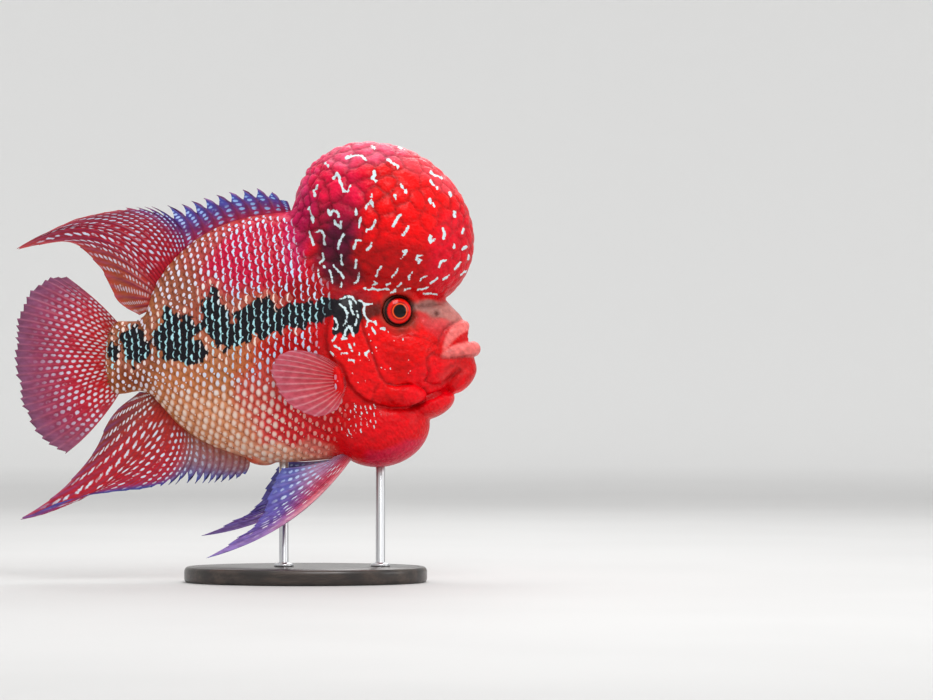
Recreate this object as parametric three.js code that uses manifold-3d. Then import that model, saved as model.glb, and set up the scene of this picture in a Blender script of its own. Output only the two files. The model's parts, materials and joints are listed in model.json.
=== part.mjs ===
// A life-size model of a flowerhorn cichlid on a plain display stand, in millimetres.
// +X runs towards the mouth, +Y to the fish's left side and +Z up. The origin is on the floor, under
// the middle of the fish's length.
import * as THREE from "three";
import { mergeVertices } from "three/addons/utils/BufferGeometryUtils.js";
import Module from "manifold-3d";

const wasm = await Module();
wasm.setup();

// Driving sizes
const GAP = 0.3;
const REACH = 90;

// Side view of the trunk from the tail root to the mouth: [x, height of the back] and [x, height of the belly].
const BACK = [
  [-90, 168.5], [-80, 167.6], [-71, 167.6], [-65, 172], [-61.5, 182], [-57, 193], [-49, 204.3],
  [-39.5, 213.9], [-26.5, 223.6], [-10.5, 231], [9, 235.6], [29, 237.5], [54, 233], [76, 217],
  [98, 198], [118, 184], [130, 177], [138, 169], [144, 161],
];
const BELLY = [
  [-90, 119.5], [-78, 121], [-68, 122.6], [-61, 120], [-54, 112.5], [-44, 101.5], [-30, 91.5],
  [-14, 84.5], [2, 79.5], [18, 76.8], [37, 77.5], [57, 79.5], [76, 86], [95, 98], [111, 110],
  [124, 120], [134, 129], [144, 141],
];
const HALF_WIDTH = [
  [-90, 3.6], [-78, 6.5], [-60, 12], [-40, 19], [-15, 26], [10, 30.5], [40, 32.5], [65, 32],
  [90, 27.5], [110, 22], [125, 17], [138, 12], [144, 9],
];
const TAIL_ROOT = -86;
const NOSE = 142.5;
const WIDEST = 0.47;
const SPINE_RIDGE = 2.3;

// Soft swellings of the head: centre [x, y, z], half sizes [along, across, up], tilt in degrees, blend.
const HUMP = { at: [88.6, 0, 228], half: [61.5, 42, 51.5], tilt: -36, blend: 8 };
const THROAT = { at: [86.5, 0, 99.5], half: [31.5, 25, 25.5], tilt: 12, blend: 4 };
const SWELLINGS = [
  { at: [118, 0, 114], half: [16.5, 17, 9], tilt: 22, blend: 1.5 },
  { at: [138.2, 0, 131.5], half: [12.5, 12, 7], tilt: 50, blend: 1.5 },
  { at: [123, 0, 173], half: [11, 13, 8.5], tilt: -20, blend: 2.5 },
  { at: [131, 0, 168.5], half: [9, 11, 6.5], tilt: -38, blend: 2 },
  { at: [101, 17, 146], half: [20, 11, 19], tilt: 0, blend: 3 },
  { at: [95, 17, 121], half: [19, 10.5, 7.5], tilt: -4, blend: 2 },
  { at: [122, 11, 137], half: [13, 7, 8], tilt: 25, blend: 2.5 },
  { at: [9, 0, 78.6], half: [9, 5, 3.6], tilt: -8, blend: 2 },
];
const BULBS = { count: 140, seed: 7, spread: 0.3, height: 2.8, front: 0.6 };

// Eyes, nostrils and mouth
const EYE = { x: 98, z: 173.8, radius: 10.2, depth: 6, sunk: 2.6, rim: 1.9 };
const NOSTRIL = { x: 122, z: 172.5, radius: 1.6 };
const MOUTH = { at: [140.5, 0, 155.6], half: [11, 8, 3.2], tilt: 34 };
const UPPER_LIP = { corner: [124.3, 13.5, 145.5], front: [139.4, 0, 164.3], bow: 5.2, radius: [2.8, 3.8] };
const LOWER_LIP = { corner: [124.5, 13.5, 144.8], front: [145.4, 0, 149.6], bow: 1.6, radius: [3, 5] };

// Curves in side view, [x, z], where the sub-parts meet
const HUMP_SEAM = [
  [24, 240], [33, 222], [44, 203], [60, 189.5], [82, 187], [98, 187.6], [113, 182], [125, 178.8], [150, 178.8],
];
const GILL_SEAM = [
  [63, 188.5], [60.5, 181], [56.5, 171.5], [54, 158.7], [56.5, 148.5], [62.8, 141], [66.5, 135.2],
  [67.6, 128.5], [72, 122], [79, 115], [91, 108.6], [102, 106.6], [110, 105.4], [118, 103.6], [126, 100],
];
const GILL_COVER = [
  [62, 182], [54.3, 171.5], [51.1, 158.7], [53.6, 147.8], [60.1, 140], [63.9, 134.9], [64.6, 128.5],
  [69.7, 122.1], [76.1, 117.9], [84, 121], [86.6, 129.8], [84.5, 136.2], [79.3, 149], [74.8, 161.2],
  [72.9, 174],
];
const THROAT_SEAM = [[68, 124], [60, 112], [58, 98], [62, 84], [70, 70]];
const TAIL_SEAM = -63;
const COVER = { raised: 1.5, thick: 3.6 };

// Fins: each key ray is [share along the fin, root x, root z, tip x, tip z, bow]. The root is sunk in the body.
const DORSAL = {
  name: "dorsal_fin", rays: 21, rows: 6, thick: [3.4, 1.1], web: 0.55, spines: 0.62, notch: 0.42,
  keys: [
    [0, 28.6, 237, 26, 245, 0.05], [0.06, 24, 237, 16.4, 250.5, 0.1], [0.12, 18.3, 236.5, 6.7, 253.1, 0.12],
    [0.27, 0.5, 233.5, -14.5, 249.9, 0.14], [0.42, -17.5, 227.5, -34.4, 245.4, 0.14],
    [0.55, -32, 218.5, -50, 242.3, 0.15], [0.66, -42, 210, -71.6, 241, 0.17], [0.76, -50, 203, -110, 233.2, 0.19],
    [0.83, -54.5, 196, -150.6, 212, 0.24], [0.88, -57.5, 191.5, -118.5, 218.6, 0.13], [0.93, -60, 185.8, -96, 203, 0.06],
    [0.97, -61.8, 180, -81.5, 178.6, 0], [1, -63, 174, -69, 171.4, 0],
  ],
  sink: 7,
};
const ANAL = {
  name: "anal_fin", rays: 15, rows: 6, thick: [3.2, 1.1], web: 0.55, spines: 0.5, notch: 0.3,
  keys: [
    [0, 2.2, 78.4, -1, 69, -0.1], [0.08, -2.3, 80.5, -9.3, 65.5, -0.14], [0.22, -13.2, 84.3, -20.9, 63.6, -0.14],
    [0.36, -24, 88.8, -31, 62.8, -0.14], [0.5, -34.4, 94.5, -46, 62.5, -0.14], [0.62, -42, 100.3, -68.4, 59, -0.14],
    [0.73, -49, 107.3, -110, 54, -0.14], [0.8, -53, 112, -150, 39.2, -0.13], [0.86, -55.6, 115, -119.8, 59.2, -0.06],
    [0.91, -57.5, 117.6, -98.6, 83.5, 0], [0.96, -59.5, 120, -86.4, 107.3, 0], [1, -61, 121.6, -69, 122, 0],
  ],
  sink: 7,
};
const CAUDAL = {
  name: "caudal_fin", rays: 15, rows: 5, thick: [4.6, 1.1], web: 0.55, spines: 1, notch: 0.035,
  keys: [
    [0, -82, 166, -116, 196.4, 0.03], [0.08, -83, 163, -127.5, 196, 0.03], [0.2, -84, 158.5, -141, 185, 0.02],
    [0.35, -85, 152, -149, 165.8, 0.01], [0.5, -85.4, 145, -149.8, 149, 0], [0.65, -85.2, 138, -147.6, 126.5, -0.01],
    [0.8, -84.2, 131, -141.8, 106, -0.02], [0.9, -83, 126, -131.5, 91, -0.03], [1, -81, 122.5, -116.5, 82.2, -0.05],
  ],
  sink: 6,
};
const PECTORAL = {
  name: "pectoral_fin", rays: 11, rows: 4, thick: [2.6, 0.9], web: 0.55, spines: 1, notch: 0.04,
  keys: [
    [0, 58.4, 140, 44.6, 147.2, 0.06], [0.15, 58.5, 137.6, 32.5, 149, 0.06], [0.3, 58.8, 134.4, 19.6, 144, 0.04],
    [0.45, 59, 131.2, 16.4, 135.6, 0.01], [0.6, 59.6, 128, 20.9, 124.6, -0.02], [0.75, 60.3, 124.8, 30.5, 112.4, -0.04],
    [0.9, 61.4, 121.4, 47.2, 106.6, -0.05], [1, 62, 119, 58.8, 110.8, -0.06],
  ],
  sink: 6, side: 31.5, splay: 0.3,
};
const PELVIC = {
  name: "pelvic_fin", rays: 7, rows: 7, thick: [3.4, 1.1], web: 0.6, spines: 1, notch: 0.03,
  keys: [
    [0, 67.5, 79, -26.7, 16.1, -0.095], [0.16, 65.3, 79, -8, 27.8, -0.075], [0.35, 63, 79, 2.6, 34.4, -0.06],
    [0.55, 60.6, 79, 9, 42.6, -0.05], [0.75, 58.2, 79, 14.2, 57, -0.05], [1, 55.5, 79, 22, 73.5, -0.04],
  ],
  sink: 6, side: 8, splay: 0.2, farLift: 7,
};

// Blocks the body is made in: low corner, high corner and cell size
const HUMP_BOX = [[18, -48, 172], [156, 48, 290], 5.8];
const HEAD_BOX = [[44, -40, 92], [150, 40, 204], 5.4];
const THROAT_BOX = [[48, -40, 62], [132, 40, 132], 7];
const TORSO_BOX = [[-70, -42, 64], [88, 42, 250], 9];
const TAIL_BOX = [[-96, -20, 108], [-50, 20, 190], 5.6];

// Display stand
const BASE = { x: 38, length: 156, width: 104, height: 10, edge: 2 };
const RODS = [{ name: "stand_rod_rear", x: 24 }, { name: "stand_rod_front", x: 86 }];
const ROD_RADIUS = 3;

const COLOURS = {
  red: 0xd4121c, crimson: 0xb8123a, flank: 0xc8745a, tail: 0xb05a4a, lip: 0xe8606a, fin: 0xa83048,
  finBlue: 0x8a5a9c, eye: 0x8c0f08, wood: 0x2a2624, steel: 0xb4b6b8,
};

// A smooth curve through [input, output] pairs that never overshoots them.
function smoothCurve(points) {
  const n = points.length;
  const slopes = points.slice(1).map((p, i) => (p[1] - points[i][1]) / (p[0] - points[i][0]));
  const tangents = points.map((_, i) => {
    if (i === 0) return slopes[0];
    if (i === n - 1) return slopes[n - 2];
    const [a, b] = [slopes[i - 1], slopes[i]];
    return a * b <= 0 ? 0 : (2 * a * b) / (a + b);
  });
  return (x) => {
    if (x <= points[0][0]) return points[0][1];
    if (x >= points[n - 1][0]) return points[n - 1][1];
    let i = 0;
    while (x > points[i + 1][0]) i++;
    const step = points[i + 1][0] - points[i][0];
    const t = (x - points[i][0]) / step;
    const rise = points[i + 1][1] - points[i][1];
    const bend = tangents[i] * step - rise;
    const turn = tangents[i + 1] * step - rise;
    return points[i][1] + rise * t + t * (1 - t) * (bend * (1 - t) - turn * t);
  };
}

// The same series of numbers between 0 and 1 each time it is made.
function seededRandom(seed) {
  let state = seed >>> 0;
  return () => {
    state = (state * 1664525 + 1013904223) >>> 0;
    return state / 4294967296;
  };
}

// Distance fields: negative inside, in millimetres
const backAt = smoothCurve(BACK);
const bellyAt = smoothCurve(BELLY);
const halfWidthAt = smoothCurve(HALF_WIDTH);

function ovalDistance(a, b, halfA, halfB) {
  const [u, v] = [a / halfA, b / halfB];
  const reach = Math.hypot(u, v);
  const slope = Math.hypot(u / halfA, v / halfB);
  return slope < 1e-6 ? -Math.min(halfA, halfB) : (reach * (reach - 1)) / slope;
}

function trunkDistance(x, y, z) {
  const [top, bottom] = [backAt(x), bellyAt(x)];
  const middle = bottom + (top - bottom) * WIDEST;
  const halfHeight = z > middle ? top - middle : middle - bottom;
  const rise = Math.abs((z - middle) / halfHeight) ** (z > middle ? SPINE_RIDGE / 2 : 1) * halfHeight;
  const side = ovalDistance(rise, y, halfHeight, halfWidthAt(x));
  return Math.max(side, x - NOSE, TAIL_ROOT - x);
}

// The position in a swelling's own axes, as shares of its half sizes.
function inSwelling(swelling, x, y, z) {
  const turn = THREE.MathUtils.degToRad(swelling.tilt);
  const [dx, dz] = [x - swelling.at[0], z - swelling.at[2]];
  const along = dx * Math.cos(turn) + dz * Math.sin(turn);
  const up = dz * Math.cos(turn) - dx * Math.sin(turn);
  const across = (swelling.at[1] ? Math.abs(y) : y) - swelling.at[1];
  return [along, across, up];
}

function swellingDistance(swelling, x, y, z) {
  const p = inSwelling(swelling, x, y, z);
  const reach = Math.hypot(...p.map((v, i) => v / swelling.half[i]));
  const slope = Math.hypot(...p.map((v, i) => v / swelling.half[i] ** 2));
  return slope < 1e-6 ? -Math.min(...swelling.half) : (reach * (reach - 1)) / slope;
}

// Directions spread evenly over a ball, each nudged a little, where the hump's bulbs swell.
function bulbDirections({ count, seed, spread }) {
  const random = seededRandom(seed);
  const golden = Math.PI * (3 - Math.sqrt(5));
  return Array.from({ length: count }, (_, i) => {
    const height = 1 - (2 * (i + 0.5)) / count + (random() - 0.5) * spread * 0.2;
    const turn = i * golden + (random() - 0.5) * spread;
    const ring = Math.sqrt(Math.max(0, 1 - height * height));
    const size = 0.75 + 0.5 * random();
    return { way: [ring * Math.cos(turn), ring * Math.sin(turn), height], size };
  });
}
const bulbs = bulbDirections(BULBS);
const bulbSpacing = Math.sqrt((4 * Math.PI) / BULBS.count);

// How far the bulbs stand out of the hump in one direction, flatter towards its smooth front.
function bulbHeight(p) {
  const length = Math.hypot(...p) || 1;
  const way = p.map((v) => v / length);
  let height = 0;
  for (const bulb of bulbs) {
    const apart = Math.hypot(way[0] - bulb.way[0], way[1] - bulb.way[1], way[2] - bulb.way[2]);
    const dome = bulb.size * (1 - (apart / (bulbSpacing * 0.8)) ** 2);
    height = Math.max(height, dome);
  }
  const front = Math.max(0, way[0] * 0.9 - way[2] * 0.4);
  return BULBS.height * height * (1 - BULBS.front * front);
}

function humpDistance(x, y, z) {
  const p = inSwelling(HUMP, x, y, z);
  const shares = p.map((v, i) => v / HUMP.half[i]);
  const plain = swellingDistance(HUMP, x, y, z);
  return Math.abs(plain) > 8 ? plain : plain + BULBS.height * 0.7 - bulbHeight(shares);
}

// Two fields joined with a fillet.
function blended(a, b, blend) {
  const h = Math.max(blend - Math.abs(a - b), 0) / blend;
  return Math.min(a, b) - (h * h * blend) / 4;
}

function bodyDistance(x, y, z) {
  let d = blended(trunkDistance(x, y, z), humpDistance(x, y, z), HUMP.blend);
  d = blended(d, swellingDistance(THROAT, x, y, z), THROAT.blend);
  for (const s of SWELLINGS) d = blended(d, swellingDistance(s, x, y, z), s.blend);
  return Math.max(d, -swellingDistance(MOUTH, x, y, z));
}

// The surface where a field crosses a level, as a closed mesh of cells about one size. The same mesh can be
// grown a little, facet by facet.
function surfaceMesh(distance, low, high, cell, level = 0, grown = 0) {
  const count = low.map((v, i) => Math.ceil((high[i] - v) / cell) + 1);
  const [nx, ny, nz] = count;
  const at = (i, j, k) => (i * ny + j) * nz + k;
  const point = (i, j, k) => [low[0] + i * cell, low[1] + j * cell, low[2] + k * cell];
  const values = new Float64Array(nx * ny * nz);
  for (let i = 0; i < nx; i++)
    for (let j = 0; j < ny; j++)
      for (let k = 0; k < nz; k++) {
        const edge = i === 0 || j === 0 || k === 0 || i === nx - 1 || j === ny - 1 || k === nz - 1;
        const v = edge ? cell : distance(...point(i, j, k)) - level;
        values[at(i, j, k)] = v === 0 ? 1e-6 : v;
      }
  const corners = [0, 1].flatMap((i) => [0, 1].flatMap((j) => [0, 1].map((k) => [i, j, k])));
  const edges = [];
  corners.forEach((a, m) =>
    corners.slice(m + 1).forEach((b) => {
      if (a.filter((v, i) => v !== b[i]).length === 1) edges.push([a, b]);
    }),
  );
  onePatchPerCell(values, count, at, corners, edges);
  const vertexOf = new Map();
  const vertices = [];
  for (let i = 0; i < nx - 1; i++)
    for (let j = 0; j < ny - 1; j++)
      for (let k = 0; k < nz - 1; k++) {
        const sum = [0, 0, 0];
        let crossings = 0;
        for (const [a, b] of edges) {
          const va = values[at(i + a[0], j + a[1], k + a[2])];
          const vb = values[at(i + b[0], j + b[1], k + b[2])];
          if (va < 0 === vb < 0) continue;
          const t = va / (va - vb);
          for (let c = 0; c < 3; c++) sum[c] += [i, j, k][c] + a[c] + (b[c] - a[c]) * t;
          crossings++;
        }
        if (!crossings) continue;
        vertexOf.set(at(i, j, k), vertices.length);
        vertices.push(settled(distance, level + grown, sum.map((s, c) => low[c] + (s / crossings) * cell), cell));
      }
  const triangles = [];
  const quad = (a, b, c, d, flip) => {
    const ids = [a, b, c, d].map(([i, j, k]) => vertexOf.get(at(i, j, k)));
    const [p, q, r, s] = flip ? ids.reverse() : ids;
    const span = (m, n) => Math.hypot(...vertices[m].map((v, c) => v - vertices[n][c]));
    if (span(p, r) < span(q, s)) triangles.push(p, q, r, p, r, s);
    else triangles.push(p, q, s, q, r, s);
  };
  for (let i = 0; i < nx - 1; i++)
    for (let j = 0; j < ny - 1; j++)
      for (let k = 0; k < nz - 1; k++) {
        const inside = values[at(i, j, k)] < 0;
        if (inside !== values[at(i + 1, j, k)] < 0)
          quad([i, j - 1, k - 1], [i, j, k - 1], [i, j, k], [i, j - 1, k], !inside);
        if (inside !== values[at(i, j + 1, k)] < 0)
          quad([i - 1, j, k - 1], [i - 1, j, k], [i, j, k], [i, j, k - 1], !inside);
        if (inside !== values[at(i, j, k + 1)] < 0)
          quad([i - 1, j - 1, k], [i, j - 1, k], [i, j, k], [i - 1, j, k], !inside);
      }
  return solidFrom(new Float32Array(vertices.flat()), new Uint32Array(triangles));
}

// Grid values changed, a corner at a time, until the surface passes through each cell as one patch.
function onePatchPerCell(values, [nx, ny, nz], at, corners, edges) {
  const links = corners.map((a) => edges.filter((e) => e.includes(a)).map((e) => corners.indexOf(e[0] === a ? e[1] : e[0])));
  const groupsOf = (signs, sign) => {
    const seen = new Set();
    const groups = [];
    signs.forEach((v, start) => {
      if (v !== sign || seen.has(start)) return;
      const members = [start];
      seen.add(start);
      for (const m of members)
        for (const next of links[m])
          if (signs[next] === sign && !seen.has(next)) {
            seen.add(next);
            members.push(next);
          }
      groups.push(members);
    });
    return groups.sort((a, b) => a.length - b.length);
  };
  for (let pass = 0, changed = true; changed && pass < 30; pass++) {
    changed = false;
    for (let i = 0; i < nx - 1; i++)
      for (let j = 0; j < ny - 1; j++)
        for (let k = 0; k < nz - 1; k++) {
          const ids = corners.map((c) => at(i + c[0], j + c[1], k + c[2]));
          const signs = ids.map((id) => values[id] < 0);
          if (signs.every((v) => v === signs[0])) continue;
          for (const sign of [true, false]) {
            const groups = groupsOf(signs, sign);
            if (groups.length < 2) continue;
            const weakest = groups[0].reduce((b, m) => (Math.abs(values[ids[m]]) < Math.abs(values[ids[b]]) ? m : b));
            values[ids[weakest]] = sign ? 1e-3 : -1e-3;
            changed = true;
            break;
          }
        }
  }
}

// A vertex moved along the field's slope until it lies on the surface, never far from its cell.
function settled(distance, level, start, cell) {
  const step = 0.02;
  let p = start.slice();
  for (let pass = 0; pass < 3; pass++) {
    const here = distance(...p) - level;
    const slope = [0, 1, 2].map((c) => {
      const q = p.slice();
      q[c] += step;
      return (distance(...q) - level - here) / step;
    });
    const steep = Math.max(slope.reduce((s, v) => s + v * v, 0), 0.05);
    p = p.map((v, c) => v - (here * slope[c]) / steep);
  }
  const moved = Math.hypot(...p.map((v, c) => v - start[c]));
  const share = moved > cell * 0.45 ? (cell * 0.45) / moved : 1;
  return start.map((v, c) => v + (p[c] - v) * share);
}

// Solids
function solidFrom(vertProperties, triVerts) {
  return new wasm.Manifold(new wasm.Mesh({ numProp: 3, vertProperties, triVerts }));
}

// A solid whose triangles face outwards whichever way round they were listed.
function facingOut(positions, triangles) {
  const solid = solidFrom(new Float32Array(positions), new Uint32Array(triangles));
  if (solid.volume() >= 0) return solid;
  for (let i = 0; i < triangles.length; i += 3)
    [triangles[i + 1], triangles[i + 2]] = [triangles[i + 2], triangles[i + 1]];
  return solidFrom(new Float32Array(positions), new Uint32Array(triangles));
}

function solidOf(geometry) {
  const plain = geometry.clone();
  plain.deleteAttribute("normal");
  plain.deleteAttribute("uv");
  const merged = mergeVertices(plain, 1e-3);
  return solidFrom(new Float32Array(merged.attributes.position.array), new Uint32Array(merged.index.array));
}

function largest(solid) {
  const bodies = solid.decompose();
  return bodies.reduce((best, b) => (b.volume() > best.volume() ? b : best));
}

const group = new THREE.Group();

function addNode(name, solid, colour, roughness = 0.5, metalness = 0) {
  const mesh = largest(solid).getMesh();
  const positions = new Float32Array(mesh.numVert * 3);
  for (let i = 0; i < mesh.numVert; i++)
    positions.set(mesh.vertProperties.subarray(i * mesh.numProp, i * mesh.numProp + 3), i * 3);
  const geometry = new THREE.BufferGeometry()
    .setAttribute("position", new THREE.BufferAttribute(positions, 3))
    .setIndex(new THREE.BufferAttribute(mesh.triVerts, 1));
  geometry.computeVertexNormals();
  const material = new THREE.MeshStandardMaterial({ color: colour, roughness, metalness });
  const node = new THREE.Mesh(geometry, material);
  node.name = name;
  group.add(node);
}

// A closed outline in side view, pushed through the fish from one side to the other.
function slab(outline, from = -REACH, to = REACH) {
  const shape = new THREE.Shape(outline.map(([x, z]) => new THREE.Vector2(x, z)));
  const geometry = new THREE.ExtrudeGeometry(shape, { depth: to - from, bevelEnabled: false, steps: 1 });
  geometry.rotateX(Math.PI / 2);
  geometry.translate(0, to, 0);
  return solidOf(geometry);
}

// Points along a curve in side view, moved sideways so that the parts on its two sides keep their gap.
function seam(points, offset, steps = 18) {
  const curve = new THREE.SplineCurve(points.map(([x, z]) => new THREE.Vector2(x, z)));
  return Array.from({ length: steps + 1 }, (_, i) => {
    const t = i / steps;
    const p = curve.getPoint(t);
    const way = curve.getTangent(t);
    return [p.x - way.y * offset, p.y + way.x * offset];
  });
}

function grownOutline(points, by) {
  const cx = points.reduce((s, p) => s + p[0], 0) / points.length;
  const cz = points.reduce((s, p) => s + p[1], 0) / points.length;
  return points.map(([x, z]) => {
    const r = Math.hypot(x - cx, z - cz);
    return [cx + ((x - cx) * (r + by)) / r, cz + ((z - cz) * (r + by)) / r];
  });
}

// Body sub-parts
const HALF_GAP = GAP / 2;
const FAR = { left: -120, right: 175, low: 40, high: 300 };
const humpRegion = slab([...seam(HUMP_SEAM, HALF_GAP), [FAR.right, 178.8], [FAR.right, FAR.high], [20, FAR.high]]);
const underHump = slab([...seam(HUMP_SEAM, -HALF_GAP), [FAR.right, 178.8], [FAR.right, FAR.low], [FAR.left, FAR.low],
  [FAR.left, FAR.high], [20, FAR.high]]);
const headRegion = slab([...seam(GILL_SEAM, HALF_GAP), [FAR.right, 100], [FAR.right, FAR.high], [63, FAR.high]]);
const behindHead = slab([...seam(GILL_SEAM, -HALF_GAP), [FAR.right, 99], [FAR.right, FAR.low], [FAR.left, FAR.low],
  [FAR.left, FAR.high], [63, FAR.high]]);
const throatRegion = slab([...seam(THROAT_SEAM, HALF_GAP), [FAR.right, 68], [FAR.right, 126]]);
const aheadOfThroat = slab([...seam(THROAT_SEAM, -HALF_GAP), [FAR.right, 68], [FAR.right, 128]]);
const tailRegion = slab([[FAR.left, FAR.low], [TAIL_SEAM - HALF_GAP, FAR.low], [TAIL_SEAM - HALF_GAP, FAR.high],
  [FAR.left, FAR.high]]);
const aheadOfTail = slab([[TAIL_SEAM + HALF_GAP, FAR.low], [FAR.right, FAR.low], [FAR.right, FAR.high],
  [TAIL_SEAM + HALF_GAP, FAR.high]]);

const coverOutline = seam(GILL_COVER, 0, 20);
const coverBox = [[46, -40, 108], [94, 40, 190]];
const coverInside = surfaceMesh(bodyDistance, ...coverBox, 8, -COVER.thick);
const coverSlot = slab(grownOutline(coverOutline, GAP))
  .subtract(surfaceMesh(bodyDistance, ...coverBox, 8, -COVER.thick, -GAP));
const coverBlock = surfaceMesh(bodyDistance, ...coverBox, 5.5, COVER.raised)
  .intersect(slab(coverOutline))
  .subtract(coverInside);

// How far out to one side the skin lies.
function skinAt(x, z) {
  let [inner, outer] = [0, 60];
  for (let pass = 0; pass < 30; pass++) {
    const y = (inner + outer) / 2;
    if (bodyDistance(x, y, z) < 0) inner = y;
    else outer = y;
  }
  return inner;
}
const eyeSkin = skinAt(EYE.x, EYE.z);
const eyeTurn = Math.atan2(skinAt(EYE.x + 9, EYE.z) - skinAt(EYE.x - 9, EYE.z), 18);

function eyeball(side, radius) {
  const ball = new THREE.SphereGeometry(radius, 18, 10);
  ball.scale(1, (EYE.depth + radius - EYE.radius) / radius, 1);
  ball.rotateZ(side * eyeTurn);
  ball.translate(EYE.x, side * (eyeSkin - EYE.sunk), EYE.z);
  return solidOf(ball);
}

// The ring of skin round an eye, set where the eye comes out of the head.
function eyeRim(side) {
  const ring = new THREE.TorusGeometry(EYE.radius + 0.5, EYE.rim, 6, 20);
  ring.rotateX(Math.PI / 2);
  ring.rotateZ(side * eyeTurn);
  ring.translate(EYE.x, side * (eyeSkin - 0.4), EYE.z);
  return solidOf(ring);
}

function nostril(side) {
  const pit = new THREE.SphereGeometry(NOSTRIL.radius, 8, 6);
  pit.translate(NOSTRIL.x, side * (skinAt(NOSTRIL.x, NOSTRIL.z) - 0.2), NOSTRIL.z);
  return solidOf(pit);
}

// Lips: a roll that runs from one corner of the mouth round the front to the other, rounded off at its ends.
function lipRoll(lip, grown = 0, sides = 8, steps = 14) {
  const stations = Array.from({ length: steps + 1 }, (_, i) => {
    const turn = ((i / steps) * 2 - 1) * (Math.PI / 2);
    const ahead = Math.cos(turn);
    const x = lip.corner[0] + (lip.front[0] - lip.corner[0]) * ahead;
    const z = lip.corner[2] + (lip.front[2] - lip.corner[2]) * ahead ** 0.8 + lip.bow * Math.sin(Math.PI * ahead) * 0.5;
    const end = i === 0 || i === steps ? 0.55 : 1;
    const radius = (lip.radius[0] + (lip.radius[1] - lip.radius[0]) * ahead) * end + grown;
    return { p: new THREE.Vector3(x, lip.corner[1] * Math.sin(turn), z), radius };
  });
  const positions = [];
  stations.forEach(({ p, radius }, i) => {
    const ahead = stations[Math.min(i + 1, steps)].p.clone().sub(stations[Math.max(i - 1, 0)].p).normalize();
    const out = new THREE.Vector3(0, 0, 1).cross(ahead).normalize();
    const up = ahead.clone().cross(out);
    for (let k = 0; k < sides; k++) {
      const a = (k / sides) * 2 * Math.PI;
      const q = p.clone().addScaledVector(out, radius * Math.cos(a)).addScaledVector(up, radius * Math.sin(a));
      positions.push(...q.toArray());
    }
  });
  const ends = [0, steps].map((i, e) => {
    const beyond = stations[i].p.clone().sub(stations[e ? i - 1 : 1].p).normalize();
    positions.push(...stations[i].p.clone().addScaledVector(beyond, stations[i].radius * 0.5).toArray());
    return positions.length / 3 - 1;
  });
  const triangles = [];
  for (let k = 0; k < sides; k++) {
    const next = (k + 1) % sides;
    for (let i = 0; i < steps; i++) {
      const [a, b, c, d] = [i * sides + k, i * sides + next, (i + 1) * sides + next, (i + 1) * sides + k];
      triangles.push(a, b, c, a, c, d);
    }
    triangles.push(ends[0], next, k, ends[1], steps * sides + k, steps * sides + next);
  }
  return facingOut(positions, triangles);
}

// A block of the body's shape with its own cell size, and the same block grown outwards.
function bodyBlock([low, high, cell], grown = 0) {
  return surfaceMesh(bodyDistance, low, high, cell, 0, grown);
}

const lowerLip = lipRoll(LOWER_LIP);
const lowerLipGrown = lipRoll(LOWER_LIP, GAP + 0.1);
const upperLip = lipRoll(UPPER_LIP).subtract(lowerLipGrown);
const upperLipGrown = lipRoll(UPPER_LIP, GAP + 0.1);

const hump = bodyBlock(HUMP_BOX).intersect(humpRegion);
let head = bodyBlock(HEAD_BOX);
for (const side of [1, -1]) head = head.add(eyeRim(side));
head = head.intersect(headRegion).intersect(underHump).subtract(coverSlot);
for (const side of [1, -1]) head = head.subtract(eyeball(side, EYE.radius + GAP)).subtract(nostril(side));
head = head.subtract(lowerLipGrown).subtract(upperLipGrown);
const throat = bodyBlock(THROAT_BOX)
  .intersect(behindHead).intersect(throatRegion).subtract(coverSlot);
const torso = bodyBlock(TORSO_BOX)
  .intersect(underHump).intersect(behindHead).subtract(aheadOfThroat).intersect(aheadOfTail).subtract(coverSlot);
const tailStalk = bodyBlock(TAIL_BOX).intersect(tailRegion);

addNode("nuchal_hump", hump, COLOURS.red);
addNode("head", head, COLOURS.red);
addNode("throat", throat, COLOURS.crimson);
addNode("torso", torso, COLOURS.flank);
addNode("tail_stalk", tailStalk, COLOURS.tail);
for (const [name, low, high] of [["gill_cover_left", 3, REACH], ["gill_cover_right", -REACH, -3]])
  addNode(name, coverBlock.intersect(slab(grownOutline(coverOutline, 6), low, high)), COLOURS.red);
for (const [name, side] of [["eye_left", 1], ["eye_right", -1]])
  addNode(name, eyeball(side, EYE.radius), COLOURS.eye, 0.15);
addNode("upper_lip", upperLip, COLOURS.lip);
addNode("lower_lip", lowerLip, COLOURS.lip);

// Fins
// The points of a fin's middle surface, ray by ray and row by row, with a ridge height for each.
function finGrid(fin, lift = 0) {
  const curves = [1, 2, 3, 4, 5].map((c) => smoothCurve(fin.keys.map((k) => [k[0], k[c]])));
  const columns = 2 * (fin.rays - 1);
  const turn = THREE.MathUtils.degToRad(lift);
  return Array.from({ length: columns + 1 }, (_, c) => {
    const share = c / columns;
    const [rootX, rootZ, tipX, tipZ, bow] = curves.map((f) => f(share));
    const isRay = c % 2 === 0;
    const soft = Math.min(1, Math.max(0, (share - fin.spines) / 0.2));
    const cut = isRay ? 0 : fin.notch * (1 - soft);
    const [reachX, reachZ] = [tipX - rootX, tipZ - rootZ];
    const length = Math.hypot(reachX, reachZ);
    return Array.from({ length: fin.rows + 1 }, (_, r) => {
      const from = -fin.sink / length;
      const t = from + (1 - cut - from) * (r / fin.rows);
      const arch = bow * 4 * t * (1 - t);
      const dx = reachX * t + reachZ * arch;
      const dz = reachZ * t - reachX * arch;
      const x = rootX + dx * Math.cos(turn) - dz * Math.sin(turn);
      const z = rootZ + dz * Math.cos(turn) + dx * Math.sin(turn);
      const y = (fin.side ?? 0) + (fin.splay ?? 0) * length * t;
      return { p: new THREE.Vector3(x, y, z), isRay, t: Math.max(0, t) };
    });
  });
}

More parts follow.
